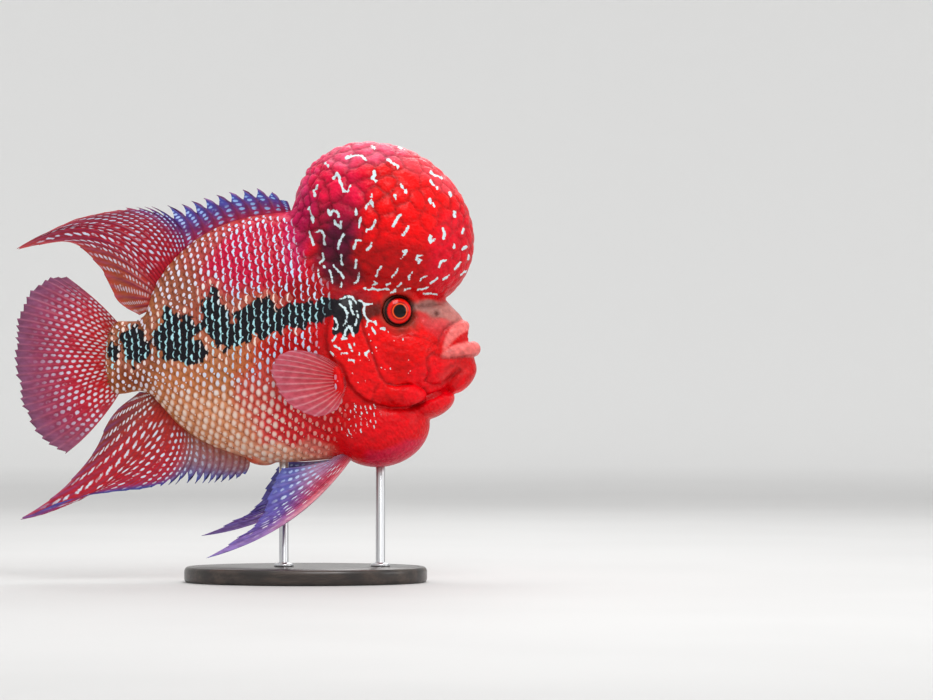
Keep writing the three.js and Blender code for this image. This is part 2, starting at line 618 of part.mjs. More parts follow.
function finSolid(fin, side = 1, lift = 0) {
  const grid = finGrid(fin, lift);
  const [columns, rows] = [grid.length, grid[0].length];
  const positions = [];
  for (const face of [1, -1])
    for (let c = 0; c < columns; c++)
      for (let r = 0; r < rows; r++) {
        const along = grid[c][Math.min(r + 1, rows - 1)].p.clone().sub(grid[c][Math.max(r - 1, 0)].p);
        const over = grid[Math.min(c + 1, columns - 1)][r].p.clone().sub(grid[Math.max(c - 1, 0)][r].p);
        const normal = new THREE.Vector3().crossVectors(over, along).normalize();
        const cell = grid[c][r];
        const ridge = fin.thick[0] + (fin.thick[1] - fin.thick[0]) * cell.t ** 0.7;
        const half = (ridge * (cell.isRay ? 1 : fin.web)) / 2;
        const p = cell.p.clone().addScaledVector(normal, face * Math.max(half, 0.3));
        positions.push(p.x, p.y * side, p.z);
      }
  const id = (face, c, r) => (face * columns + c) * rows + r;
  const triangles = [];
  const put = (a, b, c) => (side > 0 ? triangles.push(a, b, c) : triangles.push(a, c, b));
  for (let c = 0; c < columns - 1; c++)
    for (let r = 0; r < rows - 1; r++) {
      const [a, b, d, e] = [[c, r], [c + 1, r], [c + 1, r + 1], [c, r + 1]];
      const corner = grid[c][r].isRay ? [[a, b, e], [b, d, e]] : [[a, b, d], [a, d, e]];
      for (const [p, q, s] of corner) {
        put(id(0, ...p), id(0, ...q), id(0, ...s));
        put(id(1, ...p), id(1, ...s), id(1, ...q));
      }
    }
  const rim = [];
  for (let c = 0; c < columns; c++) rim.push([c, 0]);
  for (let r = 1; r < rows; r++) rim.push([columns - 1, r]);
  for (let c = columns - 2; c >= 0; c--) rim.push([c, rows - 1]);
  for (let r = rows - 2; r > 0; r--) rim.push([0, r]);
  rim.forEach((p, i) => {
    const q = rim[(i + 1) % rim.length];
    put(id(0, ...p), id(1, ...p), id(1, ...q));
    put(id(0, ...p), id(1, ...q), id(0, ...q));
  });
  return facingOut(positions, triangles);
}

const shroud = bodyBlock(TORSO_BOX, GAP).add(bodyBlock(TAIL_BOX, GAP)).add(bodyBlock(HUMP_BOX, GAP));
for (const fin of [DORSAL, ANAL, CAUDAL])
  addNode(fin.name, finSolid(fin).subtract(shroud), fin === CAUDAL ? COLOURS.fin : COLOURS.finBlue);
for (const [name, side] of [["left", 1], ["right", -1]]) {
  const cover = coverSlot.intersect(slab(grownOutline(coverOutline, 6), side > 0 ? 0 : -REACH, side > 0 ? REACH : 0));
  addNode("pectoral_fin_" + name, finSolid(PECTORAL, side).subtract(shroud).subtract(cover), COLOURS.fin);
  addNode("pelvic_fin_" + name, finSolid(PELVIC, side, side > 0 ? -PELVIC.farLift : 0).subtract(shroud), COLOURS.finBlue);
}

// Stand
const plate = new THREE.Shape();
plate.absellipse(0, 0, BASE.length / 2 - BASE.edge, BASE.width / 2 - BASE.edge, 0, Math.PI * 2);
const baseGeometry = new THREE.ExtrudeGeometry(plate, {
  depth: BASE.height - 2 * BASE.edge, bevelEnabled: true, bevelSize: BASE.edge, bevelThickness: BASE.edge,
  bevelSegments: 2, curveSegments: 14,
});
baseGeometry.translate(BASE.x, 0, BASE.edge);
addNode("stand_base", solidOf(baseGeometry), COLOURS.wood, 0.35);
for (const { name, x } of RODS) {
  const [from, to] = [BASE.height + GAP, bellyAt(x) + 8];
  const rod = new THREE.CylinderGeometry(ROD_RADIUS, ROD_RADIUS, to - from, 16);
  rod.rotateX(Math.PI / 2);
  rod.translate(x, 0, (from + to) / 2);
  addNode(name, solidOf(rod).subtract(bodyBlock(TORSO_BOX, GAP)).subtract(bodyBlock(THROAT_BOX, GAP)),
    COLOURS.steel, 0.25, 1);
}

export default group;
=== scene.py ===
"""Dresses a still, life-size flowerhorn cichlid model on a plain stand and sets it in a pale studio.

The fish's shape is worked out in millimetres: x towards the mouth, y to its left side, z up.
"""

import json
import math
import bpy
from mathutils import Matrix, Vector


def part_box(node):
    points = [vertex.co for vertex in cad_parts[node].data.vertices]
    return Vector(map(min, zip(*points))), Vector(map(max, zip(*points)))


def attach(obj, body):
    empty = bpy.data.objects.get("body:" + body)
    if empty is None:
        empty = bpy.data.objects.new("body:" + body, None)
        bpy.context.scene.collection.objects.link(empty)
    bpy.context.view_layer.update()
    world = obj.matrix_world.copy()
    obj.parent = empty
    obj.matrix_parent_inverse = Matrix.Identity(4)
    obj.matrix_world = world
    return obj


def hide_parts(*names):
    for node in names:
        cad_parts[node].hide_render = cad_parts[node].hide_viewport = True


bl_info = {
    "name": "Flowerhorn cichlid model",
    "version": (1, 0, 0),
    "blender": (4, 5, 0),
    "location": "3D View > Sidebar > Flowerhorn",
    "description": "Builds the skin, scales, fins, eyes and stand of a flowerhorn cichlid model",
    "category": "Add Mesh",
}

import bpy
import numpy as np
from mathutils import Matrix, Vector

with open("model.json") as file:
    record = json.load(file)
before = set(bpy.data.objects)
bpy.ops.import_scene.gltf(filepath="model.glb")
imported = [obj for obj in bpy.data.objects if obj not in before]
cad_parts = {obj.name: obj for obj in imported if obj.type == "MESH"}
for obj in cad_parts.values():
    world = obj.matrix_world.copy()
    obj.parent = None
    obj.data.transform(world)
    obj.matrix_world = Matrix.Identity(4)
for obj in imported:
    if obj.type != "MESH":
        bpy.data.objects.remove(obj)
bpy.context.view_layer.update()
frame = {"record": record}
MM = 0.001
RECORD_CLASSES = {m["slot"]: m["class"] for m in frame["record"]["materials"]}

# Shape of the body, in side view and from above, as [x, value] in millimetres
BACK = [
    (-90, 168.5), (-80, 167.6), (-71, 167.6), (-65, 172), (-61.5, 182), (-57, 193), (-49, 204.3),
    (-39.5, 213.9), (-26.5, 223.6), (-10.5, 231), (9, 235.6), (29, 237.5), (54, 233), (76, 217), (98, 198),
    (118, 184), (130, 177), (138, 169), (144, 161),
]
BELLY = [
    (-90, 119.5), (-78, 121), (-68, 122.6), (-61, 120), (-54, 112.5), (-44, 101.5), (-30, 91.5),
    (-14, 84.5), (2, 79.5), (18, 76.8), (37, 77.5), (57, 79.5), (76, 86), (95, 98), (111, 110), (124, 120),
    (134, 129), (144, 141),
]
HALF_WIDTH = [
    (-96, 1.6), (-88, 3.4), (-78, 6.5), (-60, 12), (-40, 19), (-15, 26), (10, 30.5), (40, 32.5), (65, 32),
    (90, 27.5), (110, 22), (125, 17), (138, 12), (144, 9),
]
TAIL_ROOT, NOSE = -84.0, 142.5
WIDEST, SPINE_RIDGE = 0.47, 2.3

# Soft swellings: centre, half sizes along, across and up, tilt in degrees, blend
HUMP = ((88.6, 0, 228), (61.5, 42, 51.5), -36, 8)
SWELLINGS = [
    ((86.5, 0, 99.5), (31.5, 25, 25.5), 12, 3.0),
    ((118, 0, 114), (16.5, 17, 9), 22, 1.2),
    ((138.2, 0, 131.5), (12.5, 12, 7), 50, 1.2),
    ((123, 0, 173), (11, 13, 8.5), -20, 2.5),
    ((131, 0, 168.5), (9, 11, 6.5), -38, 2),
    ((101, 17, 146), (20, 11, 19), 0, 3),
    ((95, 17, 121), (19, 10.5, 7.5), -4, 1.6),
    ((122, 11, 137), (13, 7, 8), 25, 2.5),
    ((9, 0, 78.6), (9, 5, 3.6), -8, 2),
    ((59.5, 30.5, 131), (4.2, 3.2, 12), 6, 1.5),
    ((138.0, 0, 141.0), (8.8, 11.5, 8.5), 20, 1.6),
]
MOUTH = ((140.5, 0, 155.6), (12, 8, 3.4), 34, 0)
UPPER_LIP = {"corner": (124.3, 13.5, 145.5), "front": (139.4, 0, 164.3), "bow": 5.2, "radius": (2.2, 3.8)}
LOWER_LIP = {"corner": (124.5, 13.5, 144.8), "front": (145.4, 0, 149.6), "bow": 1.6, "radius": (2.6, 5.0)}
EYE = {"x": 98.0, "z": 173.8, "radius": 10.2, "depth": 6.0, "sunk": 2.6}
NOSTRIL = (122.0, 172.5, 1.6)

# Fins: each key ray is (share along the fin, root x, root z, tip x, tip z, bow)
# Sizes that most fins share: mesh columns between rays, rows, thickness of the web, share with spines,
# notch between rays, root depth, place and spread to the side, width of dashes, tilt of the far one
FIN_SIZES = {
    "columns": 8, "rows": 60, "web": 0.5, "spines": 1, "notch": 0.03, "sink": 6, "side": 0, "splay": 0,
    "spot": 0.21, "far_lift": 0,
}
FINS = {
    "dorsal_fin": {
        "rays": 30, "places": [(0, 0), (0.62, 10), (1, 29)], "rows": 64, "thick": (3.2, 0.9), "spines": 0.6,
        "notch": 0.42,
        "keys": [
            (0, 28.6, 237, 26, 245, 0.05), (0.06, 24, 237, 16.4, 250.5, 0.1),
            (0.12, 18.3, 236.5, 6.7, 253.1, 0.12), (0.27, 0.5, 233.5, -14.5, 249.9, 0.14),
            (0.42, -17.5, 227.5, -34.4, 245.4, 0.14), (0.55, -32, 218.5, -50, 242.3, 0.15),
            (0.66, -42, 210, -71.6, 241, 0.17), (0.76, -50, 203, -110, 233.2, 0.19),
            (0.83, -54.5, 196, -150.6, 212, 0.24), (0.88, -57.5, 191.5, -118.5, 218.6, 0.13),
            (0.93, -60, 185.8, -96, 203, 0.06), (0.97, -61.8, 180, -81.5, 178.6, 0),
            (1, -63, 174, -69, 171.4, 0),
        ],
    },
    "anal_fin": {
        "rays": 26, "places": [(0, 0), (0.5, 9), (1, 25)], "thick": (3.0, 0.9), "spines": 0.5, "notch": 0.3,
        "keys": [
            (0, 2.2, 78.4, -1, 69, -0.1), (0.08, -2.3, 80.5, -9.3, 65.5, -0.14),
            (0.22, -13.2, 84.3, -20.9, 63.6, -0.14), (0.36, -24, 88.8, -31, 62.8, -0.14),
            (0.5, -34.4, 94.5, -46, 62.5, -0.14), (0.62, -42, 100.3, -68.4, 59, -0.14),
            (0.73, -49, 107.3, -110, 54, -0.14), (0.8, -53, 112, -150, 39.2, -0.13),
            (0.86, -55.6, 115, -119.8, 59.2, -0.06), (0.91, -57.5, 117.6, -98.6, 83.5, 0),
            (0.96, -59.5, 120, -86.4, 107.3, 0), (1, -61, 121.6, -69, 122, 0),
        ],
    },
    "caudal_fin": {
        "rays": 29, "spot": 0.27, "thick": (4.4, 0.8),
        "keys": [
            (0, -82, 166, -116, 196.4, 0.03), (0.08, -83, 163, -127.5, 196, 0.03),
            (0.2, -84, 158.5, -141, 185, 0.02), (0.35, -85, 152, -149, 165.8, 0.01),
            (0.5, -85.4, 145, -149.8, 149, 0), (0.65, -85.2, 138, -147.6, 126.5, -0.01),
            (0.8, -84.2, 131, -141.8, 106, -0.02), (0.9, -83, 126, -131.5, 91, -0.03),
            (1, -81, 122.5, -116.5, 82.2, -0.05),
        ],
    },
    "pectoral_fin": {
        "rays": 17, "rows": 36, "thick": (2.4, 0.7), "web": 0.45, "sink": 5, "side": 31.5, "splay": 0.3,
        "keys": [
            (0, 58.4, 140, 44.6, 147.2, 0.06), (0.15, 58.5, 137.6, 32.5, 149, 0.06),
            (0.3, 58.8, 134.4, 19.6, 144, 0.04), (0.45, 59, 131.2, 16.4, 135.6, 0.01),
            (0.6, 59.6, 128, 20.9, 124.6, -0.02), (0.75, 60.3, 124.8, 30.5, 112.4, -0.04),
            (0.9, 61.4, 121.4, 47.2, 106.6, -0.05), (1, 62, 119, 58.8, 110.8, -0.06),
        ],
    },
    "pelvic_fin": {
        "rays": 11, "thick": (3.2, 0.9), "side": 8, "splay": 0.2, "far_lift": 7,
        "keys": [
            (0, 67.5, 79, -26.7, 16.1, -0.095), (0.16, 65.3, 79, -8, 27.8, -0.075),
            (0.35, 63, 79, 2.6, 34.4, -0.06), (0.55, 60.6, 79, 9, 42.6, -0.05),
            (0.75, 58.2, 79, 14.2, 57, -0.05), (1, 55.5, 79, 22, 73.5, -0.04),
        ],
    },
}
FINS = {name: {**FIN_SIZES, **fin} for name, fin in FINS.items()}

# Side-view plan, in units of 0.6424 mm: u to the right and v down, as (246.5 + x / unit, 582 - z / unit)
UNIT = 300 / 467

# Folds of the head as lines in the plan, each with its depth and width in millimetres
FOLDS = [
    ([(358, 298), (361, 318), (366, 335), (372, 350), (377, 364), (381, 376), (387, 383), (396, 386),
      (409, 384)], 1.1, 1.3),
    ([(400, 331), (408, 334), (418, 336), (427, 339), (436, 344)], 0.5, 1.2),
    ([(441, 357), (433, 353), (428, 357), (427, 364), (429, 372), (425, 380)], 0.8, 1.5),
    ([(436, 343), (431, 347), (428, 352)], 0.6, 1.2),
    ([(425, 380), (432, 384), (441, 383), (450, 378), (459, 371)], 0.7, 1.8),
    ([(418, 383), (424, 388), (428, 395)], 0.6, 1.4), ([(379, 383), (375, 390), (373, 400)], 0.6, 1.4),
    ([(384, 388), (388, 396), (394, 402)], 0.35, 1.4), ([(374, 372), (364, 369), (355, 366)], 0.3, 1.4),
    ([(447, 389), (450, 393), (453, 397)], 0.8, 1.4),
    ([(447, 389), (436, 394), (424, 400), (412, 406)], 0.9, 1.8),
    ([(418, 307), (428, 306), (438, 304), (446, 302)], 0.7, 1.5),
    ([(413, 318), (424, 318), (436, 316)], 0.4, 1.4), ([(449, 303), (451, 307), (449, 311)], 0.5, 1.2),
    ([(438, 346), (439, 339), (443, 331), (449, 325), (457, 321)], 0.75, 1.1),
    ([(441, 358), (452, 358), (463, 357), (473, 355)], 0.75, 1.1),
    ([(385, 343), (397, 349), (410, 350), (424, 346)], 0.3, 1.0),
    ([(384, 352), (398, 359), (412, 360), (425, 355)], 0.3, 1.0),
    ([(386, 362), (399, 369), (412, 369), (423, 365)], 0.3, 1.0),
    ([(348, 345), (356, 356), (367, 361)], 0.3, 1.2), ([(358, 372), (366, 381), (374, 384)], 0.3, 1.2),
    ([(403, 388), (402, 396), (398, 403)], 0.3, 1.3), ([(462, 372), (459, 380), (453, 387)], 0.35, 1.3),
    ([(437, 368), (446, 369), (455, 364)], 0.4, 1.3), ([(356, 412), (372, 424), (390, 431)], 0.25, 1.0),
    ([(366, 409), (384, 420), (402, 426)], 0.25, 1.0), ([(352, 424), (366, 436), (384, 444)], 0.2, 1.0),
]
COVER_EDGE = [
    (341, 301), (335, 310), (330, 322), (327.5, 336), (328.5, 347), (332, 355), (338, 362), (344, 366),
    (347, 374), (350, 383), (357, 392), (366, 399), (377, 403.5), (392, 406), (406, 405.5), (420, 402),
    (432, 396.5), (444, 391),
]

# Pale worm marks on the hump, each a short line in the plan
HUMP_MARKS = [
    [(335, 180), (339, 176), (341, 181), (345.6, 194), (349, 193.5), (352, 188)],
    [(375, 173), (375.6, 178), (373, 180), (377, 183)], [(373.6, 197), (372, 203), (368, 208), (367, 212)],
    [(373, 204), (374.3, 208)], [(402, 187), (402.6, 189)], [(406, 192), (406.5, 195)],
    [(396, 197), (396.6, 201)], [(430, 201), (430.6, 204)], [(433.6, 205), (433.8, 208)],
    [(401, 217), (398, 220), (396, 224), (394, 228)],
    [(377, 222), (375.6, 227), (373, 230), (368.5, 231), (368, 233)],
    [(373, 244), (372, 248), (368.5, 251)], [(409, 228), (407, 233), (403.6, 237)],
    [(442.5, 230), (444.4, 234), (444, 240)], [(431, 237), (430, 241), (431, 244), (435.5, 241)],
    [(403.6, 252), (407.4, 252), (405, 256), (402, 260)],
    [(423, 257), (418, 257.5), (417, 261), (422, 261), (419, 264.5)],
    [(446, 261), (441, 262.6), (439, 268)], [(460, 263), (454.6, 269.6)],
    [(382, 268), (379.4, 271.5), (377, 277)], [(399, 269), (397, 273), (393, 278)],
    [(412.6, 273), (409.4, 277), (410, 280)], [(427, 277), (424, 278), (421, 281)],
    [(438, 279), (431, 283.6)], [(449.5, 276), (444, 280)], [(465, 271.5), (460, 275)],
    [(375, 282), (377, 284), (374, 286)], [(391, 283.6), (387.7, 285.5)], [(402, 284), (398.5, 287)],
    [(365, 289), (370, 290.6), (373, 289), (377.5, 290)], [(379, 291), (386, 289), (389, 290.6)],
    [(391.5, 293), (396, 291)], [(405, 290.6), (410, 289)], [(418, 290.6), (428.5, 288)],
    [(424, 294), (432, 294), (437, 295)], [(347.5, 160), (352.6, 157), (361.5, 157), (367, 162)],
    [(372, 147), (375.6, 150)], [(388, 161), (392, 165), (399, 169)],
    [(430, 173), (434, 176.5), (442, 179)], [(430, 183), (433.6, 186)], [(437, 189), (437, 190.5)],
    [(449.5, 194), (451, 197)], [(455, 213), (454.6, 218)], [(463, 230), (461.7, 234)],
    [(465.5, 247), (463, 250)], [(453.4, 245), (454, 248.5)], [(468.7, 256), (467.4, 260)],
    [(319, 188), (315.6, 192), (316, 197)], [(327, 165), (329, 167.5)],
    [(330, 211.5), (332, 216.6), (335, 212), (338, 213)], [(340.5, 215), (341, 218.5)],
    [(336, 222), (338, 226), (342, 229), (343.7, 223)], [(358, 211.5), (357.7, 216)],
    [(362, 220), (361, 229)], [(310.5, 209), (313.7, 217), (315.6, 223)],
    [(311, 233), (312, 238), (315.6, 246)], [(319, 233), (322, 232), (326, 237), (326.5, 245)],
    [(345, 236), (342, 242), (340, 250)], [(361.5, 242), (358, 241.5), (355, 250)],
    [(324.5, 254), (325, 260), (321.4, 264), (327, 269)], [(343, 255.5), (342.4, 262.6), (343.7, 266)],
    [(357.7, 261), (356.4, 269)], [(335, 266), (337, 269), (342, 274), (345, 279)],
    [(331, 271), (333, 276.6), (333, 283.6)], [(360, 273), (359, 282), (354.5, 284)],
    [(343, 284), (342, 288)], [(319.4, 270), (320, 276.6), (323, 284)],
    [(308, 272), (308, 278), (310.5, 283)], [(405, 149), (399, 148)],
]
CHEEK_MARKS = [
    [(360, 301), (366, 305), (373, 305)],
    [(366, 305), (364, 311), (366, 317), (369.5, 321.5), (376.5, 322), (377, 325)],
    [(369, 322), (367, 327)], [(373, 328), (376.5, 334)], [(381, 329), (384, 328.5), (385.5, 330)],
    [(341, 305), (346, 309), (349, 315)], [(351, 301), (352, 305.5), (352, 310.6), (355, 316)],
    [(341, 300), (348.5, 296.6), (353.6, 298), (357, 304)],
    [(336, 319), (339, 324), (338, 330), (334, 329)], [(351, 326.6), (347, 330), (346, 335), (343, 339)],
    [(352, 327), (353, 332), (355, 337)], [(358, 320), (356, 325)], [(343, 339), (348, 339)],
    [(337, 336), (334, 341)], [(350, 344), (353, 351)], [(355.5, 343.8), (355.5, 346)],
    [(336, 346), (342, 349.5)], [(343, 354), (348.5, 353)], [(360, 353), (360, 355)],
    [(351, 358), (350, 361), (355, 360)], [(370, 351), (366, 353), (367, 356)], [(348, 322), (345, 326)],
    [(332, 352), (336, 356)], [(349, 314), (347, 321)], [(358, 312), (359, 318)],
]
CHEEK_DOTS = [
    (369.5, 334), (371.4, 341), (374.6, 340.6), (376.5, 347), (378, 352), (374, 353), (369.5, 359),
    (361, 360), (355, 362), (386, 338), (395, 341), (409, 359), (411, 370), (408.5, 372), (391, 368),
    (385, 368.5), (382, 367.5), (389, 332), (366, 380), (359, 382), (354, 373), (403, 339), (410, 354),
]


def throat_marks():
    """Short dashes in rows on the throat."""
    marks = []
    for i in range(7):
        for j in range(6 - i // 2):
            u = 343 + 5.6 * i + 3 * (j % 2) + 1.4 * math.sin(7 * i + 3 * j)
            v = 402 + 6.2 * j + 0.65 * i + math.sin(5 * i + j)
            marks.append([(u, v), (u + 1, v + 3.5)])
    return marks


# Where the black flower line lies in the plan: centre, half sizes, tilt in degrees
BLACK_PATCHES = [
    ((116, 351), (6.5, 12), 0), ((137, 347), (13.5, 18), 0), ((130, 340), (8, 10), 0),
    ((178, 345), (24, 15), 16), ((172, 325), (11, 15), 0), ((190, 330), (10, 12), 0),
    ((196, 352), (13, 13), 0), ((219, 321), (13, 29), -10), ((212, 306), (8, 10), 0),
    ((236, 335), (22, 13), -10), ((262, 321), (26, 17), -6), ((268, 306), (9, 8), 0),
    ((300, 316), (34, 12), -8), ((328, 308), (18, 11), -14), ((349, 317), (15, 20), 10),
]


# Plain number helpers
def smooth_step(low, high, value):
    t = np.clip((value - low) / (high - low), 0, 1)
    return t * t * (3 - 2 * t)


def bell(value, middle, width):
    return np.exp(-(((value - middle) / width) ** 2))


def smooth_curve(points):
    """A smooth curve through (input, value) pairs that never overshoots them."""
    xs = np.array([p[0] for p in points], float)
    ys = np.array([p[1] for p in points], float)
    steps = np.diff(xs)
    slopes = np.diff(ys) / steps
    inner = np.zeros(len(xs))
    product = slopes[:-1] * slopes[1:]
    both = slopes[:-1] + slopes[1:]
    inner[1:-1] = np.where(product > 0, 2 * product / np.where(np.abs(both) < 1e-9, 1, both), 0)
    inner[0], inner[-1] = slopes[0], slopes[-1]

    def curve(x):
        x = np.clip(np.asarray(x, float), xs[0], xs[-1])
        i = np.clip(np.searchsorted(xs, x, side="right") - 1, 0, len(steps) - 1)
        step = steps[i]
        t = (x - xs[i]) / step
        rise = slopes[i] * step
        bend = inner[i] * step - rise
        turn = inner[i + 1] * step - rise
        return ys[i] + rise * t + t * (1 - t) * (bend * (1 - t) - turn * t)

    return curve


def wave_noise(x, y, z, size, seed):
    """Soft noise between about -1 and 1 with blobs of a given size, the same each time."""
    rng = np.random.default_rng(seed)
    total = np.zeros(np.shape(x))
    for _ in range(7):
        way = rng.normal(size=3)
        way *= rng.uniform(0.7, 1.6) * 2 * math.pi / (size * 2) / np.linalg.norm(way)
        total = total + np.sin(x * way[0] + y * way[1] + z * way[2] + rng.uniform(0, 6.28))
    return total / 3.2


def to_plan(x, z):
    return 246.5 + x / UNIT, 582 - z / UNIT


def line_distance(u, v, line):
    """Distance in the plan from points to a line of joined pieces."""
    best = np.full(np.shape(u), 1e9)
    for (u0, v0), (u1, v1) in zip(line[:-1], line[1:]):
        du, dv = u1 - u0, v1 - v0
        t = np.clip(((u - u0) * du + (v - v0) * dv) / (du * du + dv * dv + 1e-9), 0, 1)
        best = np.minimum(best, np.hypot(u - u0 - t * du, v - v0 - t * dv))
    return best


def oval_reach(u, v, centre, half, tilt):
    """How far points in the plan lie from a tilted oval's centre, with 1 on its edge."""
    c, s = math.cos(math.radians(tilt)), math.sin(math.radians(tilt))
    du, dv = u - centre[0], v - centre[1]
    return np.hypot((du * c + dv * s) / half[0], (dv * c - du * s) / half[1])


def inside_outline(u, v, outline):
    """True for points in a closed outline in the plan."""
    inside = np.zeros(np.shape(u), bool)
    for (u0, v0), (u1, v1) in zip(outline, outline[1:] + outline[:1]):
        crosses = (v0 > v) != (v1 > v)
        inside ^= crosses & (u < (u1 - u0) * (v - v0) / (v1 - v0 + 1e-12) + u0)
    return inside


# The body as a distance field: negative inside
back_at, belly_at, half_width_at = smooth_curve(BACK), smooth_curve(BELLY), smooth_curve(HALF_WIDTH)


def oval_distance(a, b, half_a, half_b):
    u, v = a / half_a, b / half_b
    reach = np.hypot(u, v)
    slope = np.maximum(np.hypot(u / half_a, v / half_b), 1e-6)
    return reach * (reach - 1) / slope


def trunk_distance(x, y, z):
    top, bottom = back_at(x), belly_at(x)
    middle = bottom + (top - bottom) * WIDEST
    upper = z > middle
    half = np.where(upper, top - middle, middle - bottom)
    share = np.abs((z - middle) / half)
    rise = np.where(upper, share ** (SPINE_RIDGE / 2), share) * half
    side = oval_distance(rise, y, half, half_width_at(x))
    end = TAIL_ROOT - 7 * np.clip(1 - ((z - 143) / 27) ** 2, 0, 1) - x
    h = np.maximum(5 - np.abs(side - end), 0) / 5
    return np.maximum(np.maximum(side, end) + h * h * 1.25, x - NOSE)


def in_swelling(swelling, x, y, z):
    (cx, cy, cz), _, tilt, _ = swelling
    c, s = math.cos(math.radians(tilt)), math.sin(math.radians(tilt))
    dx, dz = x - cx, z - cz
    across = (np.abs(y) if cy else y) - cy
    return dx * c + dz * s, across, dz * c - dx * s


def swelling_distance(swelling, x, y, z):
    p = in_swelling(swelling, x, y, z)
    half = swelling[1]
    reach = np.sqrt(sum((a / h) ** 2 for a, h in zip(p, half)))
    slope = np.maximum(np.sqrt(sum((a / h**2) ** 2 for a, h in zip(p, half))), 1e-6)
    return reach * (reach - 1) / slope


def blended(a, b, blend):
    h = np.maximum(blend - np.abs(a - b), 0) / blend
    return np.minimum(a, b) - h * h * blend / 4


def lip_distance(lip, x, y, z):
    """Distance to a lip, a bent row of tapered beads; worked out only near the mouth and large elsewhere."""
    result = np.full(np.shape(x), 50.0)
    inside = (x > 112) & (x < 156) & (z > 134) & (z < 176)
    if not inside.any():
        return result
    x, side, z = x[inside], np.abs(y[inside]), z[inside]
    corner, front, (thin, thick) = lip["corner"], lip["front"], lip["radius"]
    beads = []
    for turn in np.linspace(0, math.pi / 2, 21):
        ahead = math.cos(turn)
        rise = (front[2] - corner[2]) * ahead**0.8 + lip["bow"] * math.sin(math.pi * ahead) / 2
        along = corner[0] + (front[0] - corner[0]) * ahead
        beads.append((along, corner[1] * math.sin(turn), corner[2] + rise, thin + (thick - thin) * ahead))
    best = np.full(len(x), 99.0)
    for a, b in zip(beads[:-1], beads[1:]):
        d = np.array(b[:3]) - np.array(a[:3])
        t = np.clip(((x - a[0]) * d[0] + (side - a[1]) * d[1] + (z - a[2]) * d[2]) / (d @ d), 0, 1)
        gap = np.sqrt((x - a[0] - t * d[0]) ** 2 + (side - a[1] - t * d[1]) ** 2 + (z - a[2] - t * d[2]) ** 2)
        best = np.minimum(best, gap - (a[3] + t * (b[3] - a[3])))
    result[inside] = best
    return result


def body_distance(x, y, z):
    d = blended(trunk_distance(x, y, z), swelling_distance(HUMP, x, y, z) + 0.9, HUMP[3])
    for s in SWELLINGS:
        d = blended(d, swelling_distance(s, x, y, z), s[3])
    d = np.maximum(d, -swelling_distance(MOUTH, x, y, z))
    return blended(d, np.minimum(lip_distance(UPPER_LIP, x, y, z), lip_distance(LOWER_LIP, x, y, z)), 0.9)


def field_slope(distance, p, step=0.05):
    here = distance(*p.T)
    slope = np.stack([(distance(*(p + step * np.eye(3)[i]).T) - here) / step for i in range(3)], axis=1)
    return here, slope


def onto_surface(distance, p, passes=3, longest=None):
    """Points moved along the field's slope onto the surface, with the outward direction there."""
    start = p.copy()
    for _ in range(passes):
        here, slope = field_slope(distance, p)
        steep = np.maximum((slope**2).sum(axis=1), 0.05)
        p = p - slope * (here / steep)[:, None]
    if longest:
        moved = np.linalg.norm(p - start, axis=1)
        share = np.where(moved > longest, longest / np.maximum(moved, 1e-9), 1)
        p = start + (p - start) * share[:, None]
    _, slope = field_slope(distance, p)
    return p, slope / np.maximum(np.linalg.norm(slope, axis=1), 1e-9)[:, None]


def skin_at(x, z):
    """How far out to one side the body's skin lies."""
    inner, outer = np.zeros(np.shape(x)), np.full(np.shape(x), 60.0)
    for _ in range(22):
        y = (inner + outer) / 2
        deep = body_distance(x, y, z) < 0
        inner, outer = np.where(deep, y, inner), np.where(deep, outer, y)
    return inner


def surface_net(distance, low, high, cell):
    """Vertices and quads of the surface where a field that is alike on both sides is zero."""
    half = np.arange(0, high[1] + cell, cell)
    xs, zs = np.arange(low[0], high[0] + cell, cell), np.arange(low[2], high[2] + cell, cell)
    x, y, z = np.meshgrid(xs, half, zs, indexing="ij")
    values = distance(x, y, z)
    values = np.concatenate([values[:, :0:-1], values], axis=1)
    origin = np.array([xs[0], -half[-1], zs[0]])
    inside = values < 0
    n = np.array(values.shape)
    corners = np.array([(i, j, k) for i in (0, 1) for j in (0, 1) for k in (0, 1)])
    count = sum(inside[i:n[0] - 1 + i, j:n[1] - 1 + j, k:n[2] - 1 + k].astype(np.int8) for i, j, k in corners)
    cells = np.argwhere((count > 0) & (count < 8))
    ids = np.full(n - 1, -1, np.int32)
    ids[tuple(cells.T)] = np.arange(len(cells))
    total, hits = np.zeros((len(cells), 3)), np.zeros(len(cells))
    for a in corners:
        for axis in range(3):
            if a[axis]:
                continue
            b = a + np.eye(3, dtype=int)[axis]
            va, vb = values[tuple((cells + a).T)], values[tuple((cells + b).T)]
            cross = (va < 0) != (vb < 0)
            t = np.where(cross, va / np.where(cross, va - vb, 1), 0)
            total += np.where(cross[:, None], a + np.eye(3)[axis] * t[:, None], 0)
            hits += cross
    points = origin + (cells + total / hits[:, None]) * cell
    quads = []
    for axis in range(3):
        o1, o2 = (axis + 1) % 3, (axis + 2) % 3
        e, e1, e2 = (np.eye(3, dtype=int)[i] for i in (axis, o1, o2))
        ahead = [slice(None)] * 3
        behind = [slice(None)] * 3
        ahead[axis], behind[axis] = slice(1, None), slice(None, -1)
        change = np.argwhere(inside[tuple(ahead)] != inside[tuple(behind)])
        change = change[(change[:, o1] > 0) & (change[:, o2] > 0)]
        change = change[(change[:, o1] < n[o1] - 1) & (change[:, o2] < n[o2] - 1)]
        ring = [ids[tuple((change - shift).T)] for shift in (e1 + e2, e2, 0 * e, e1)]
        quad = np.stack(ring, axis=1)
        flip = ~inside[tuple(change.T)]
        quad[flip] = quad[flip][:, ::-1]
        quads.append(quad)
    return points, np.concatenate(quads)


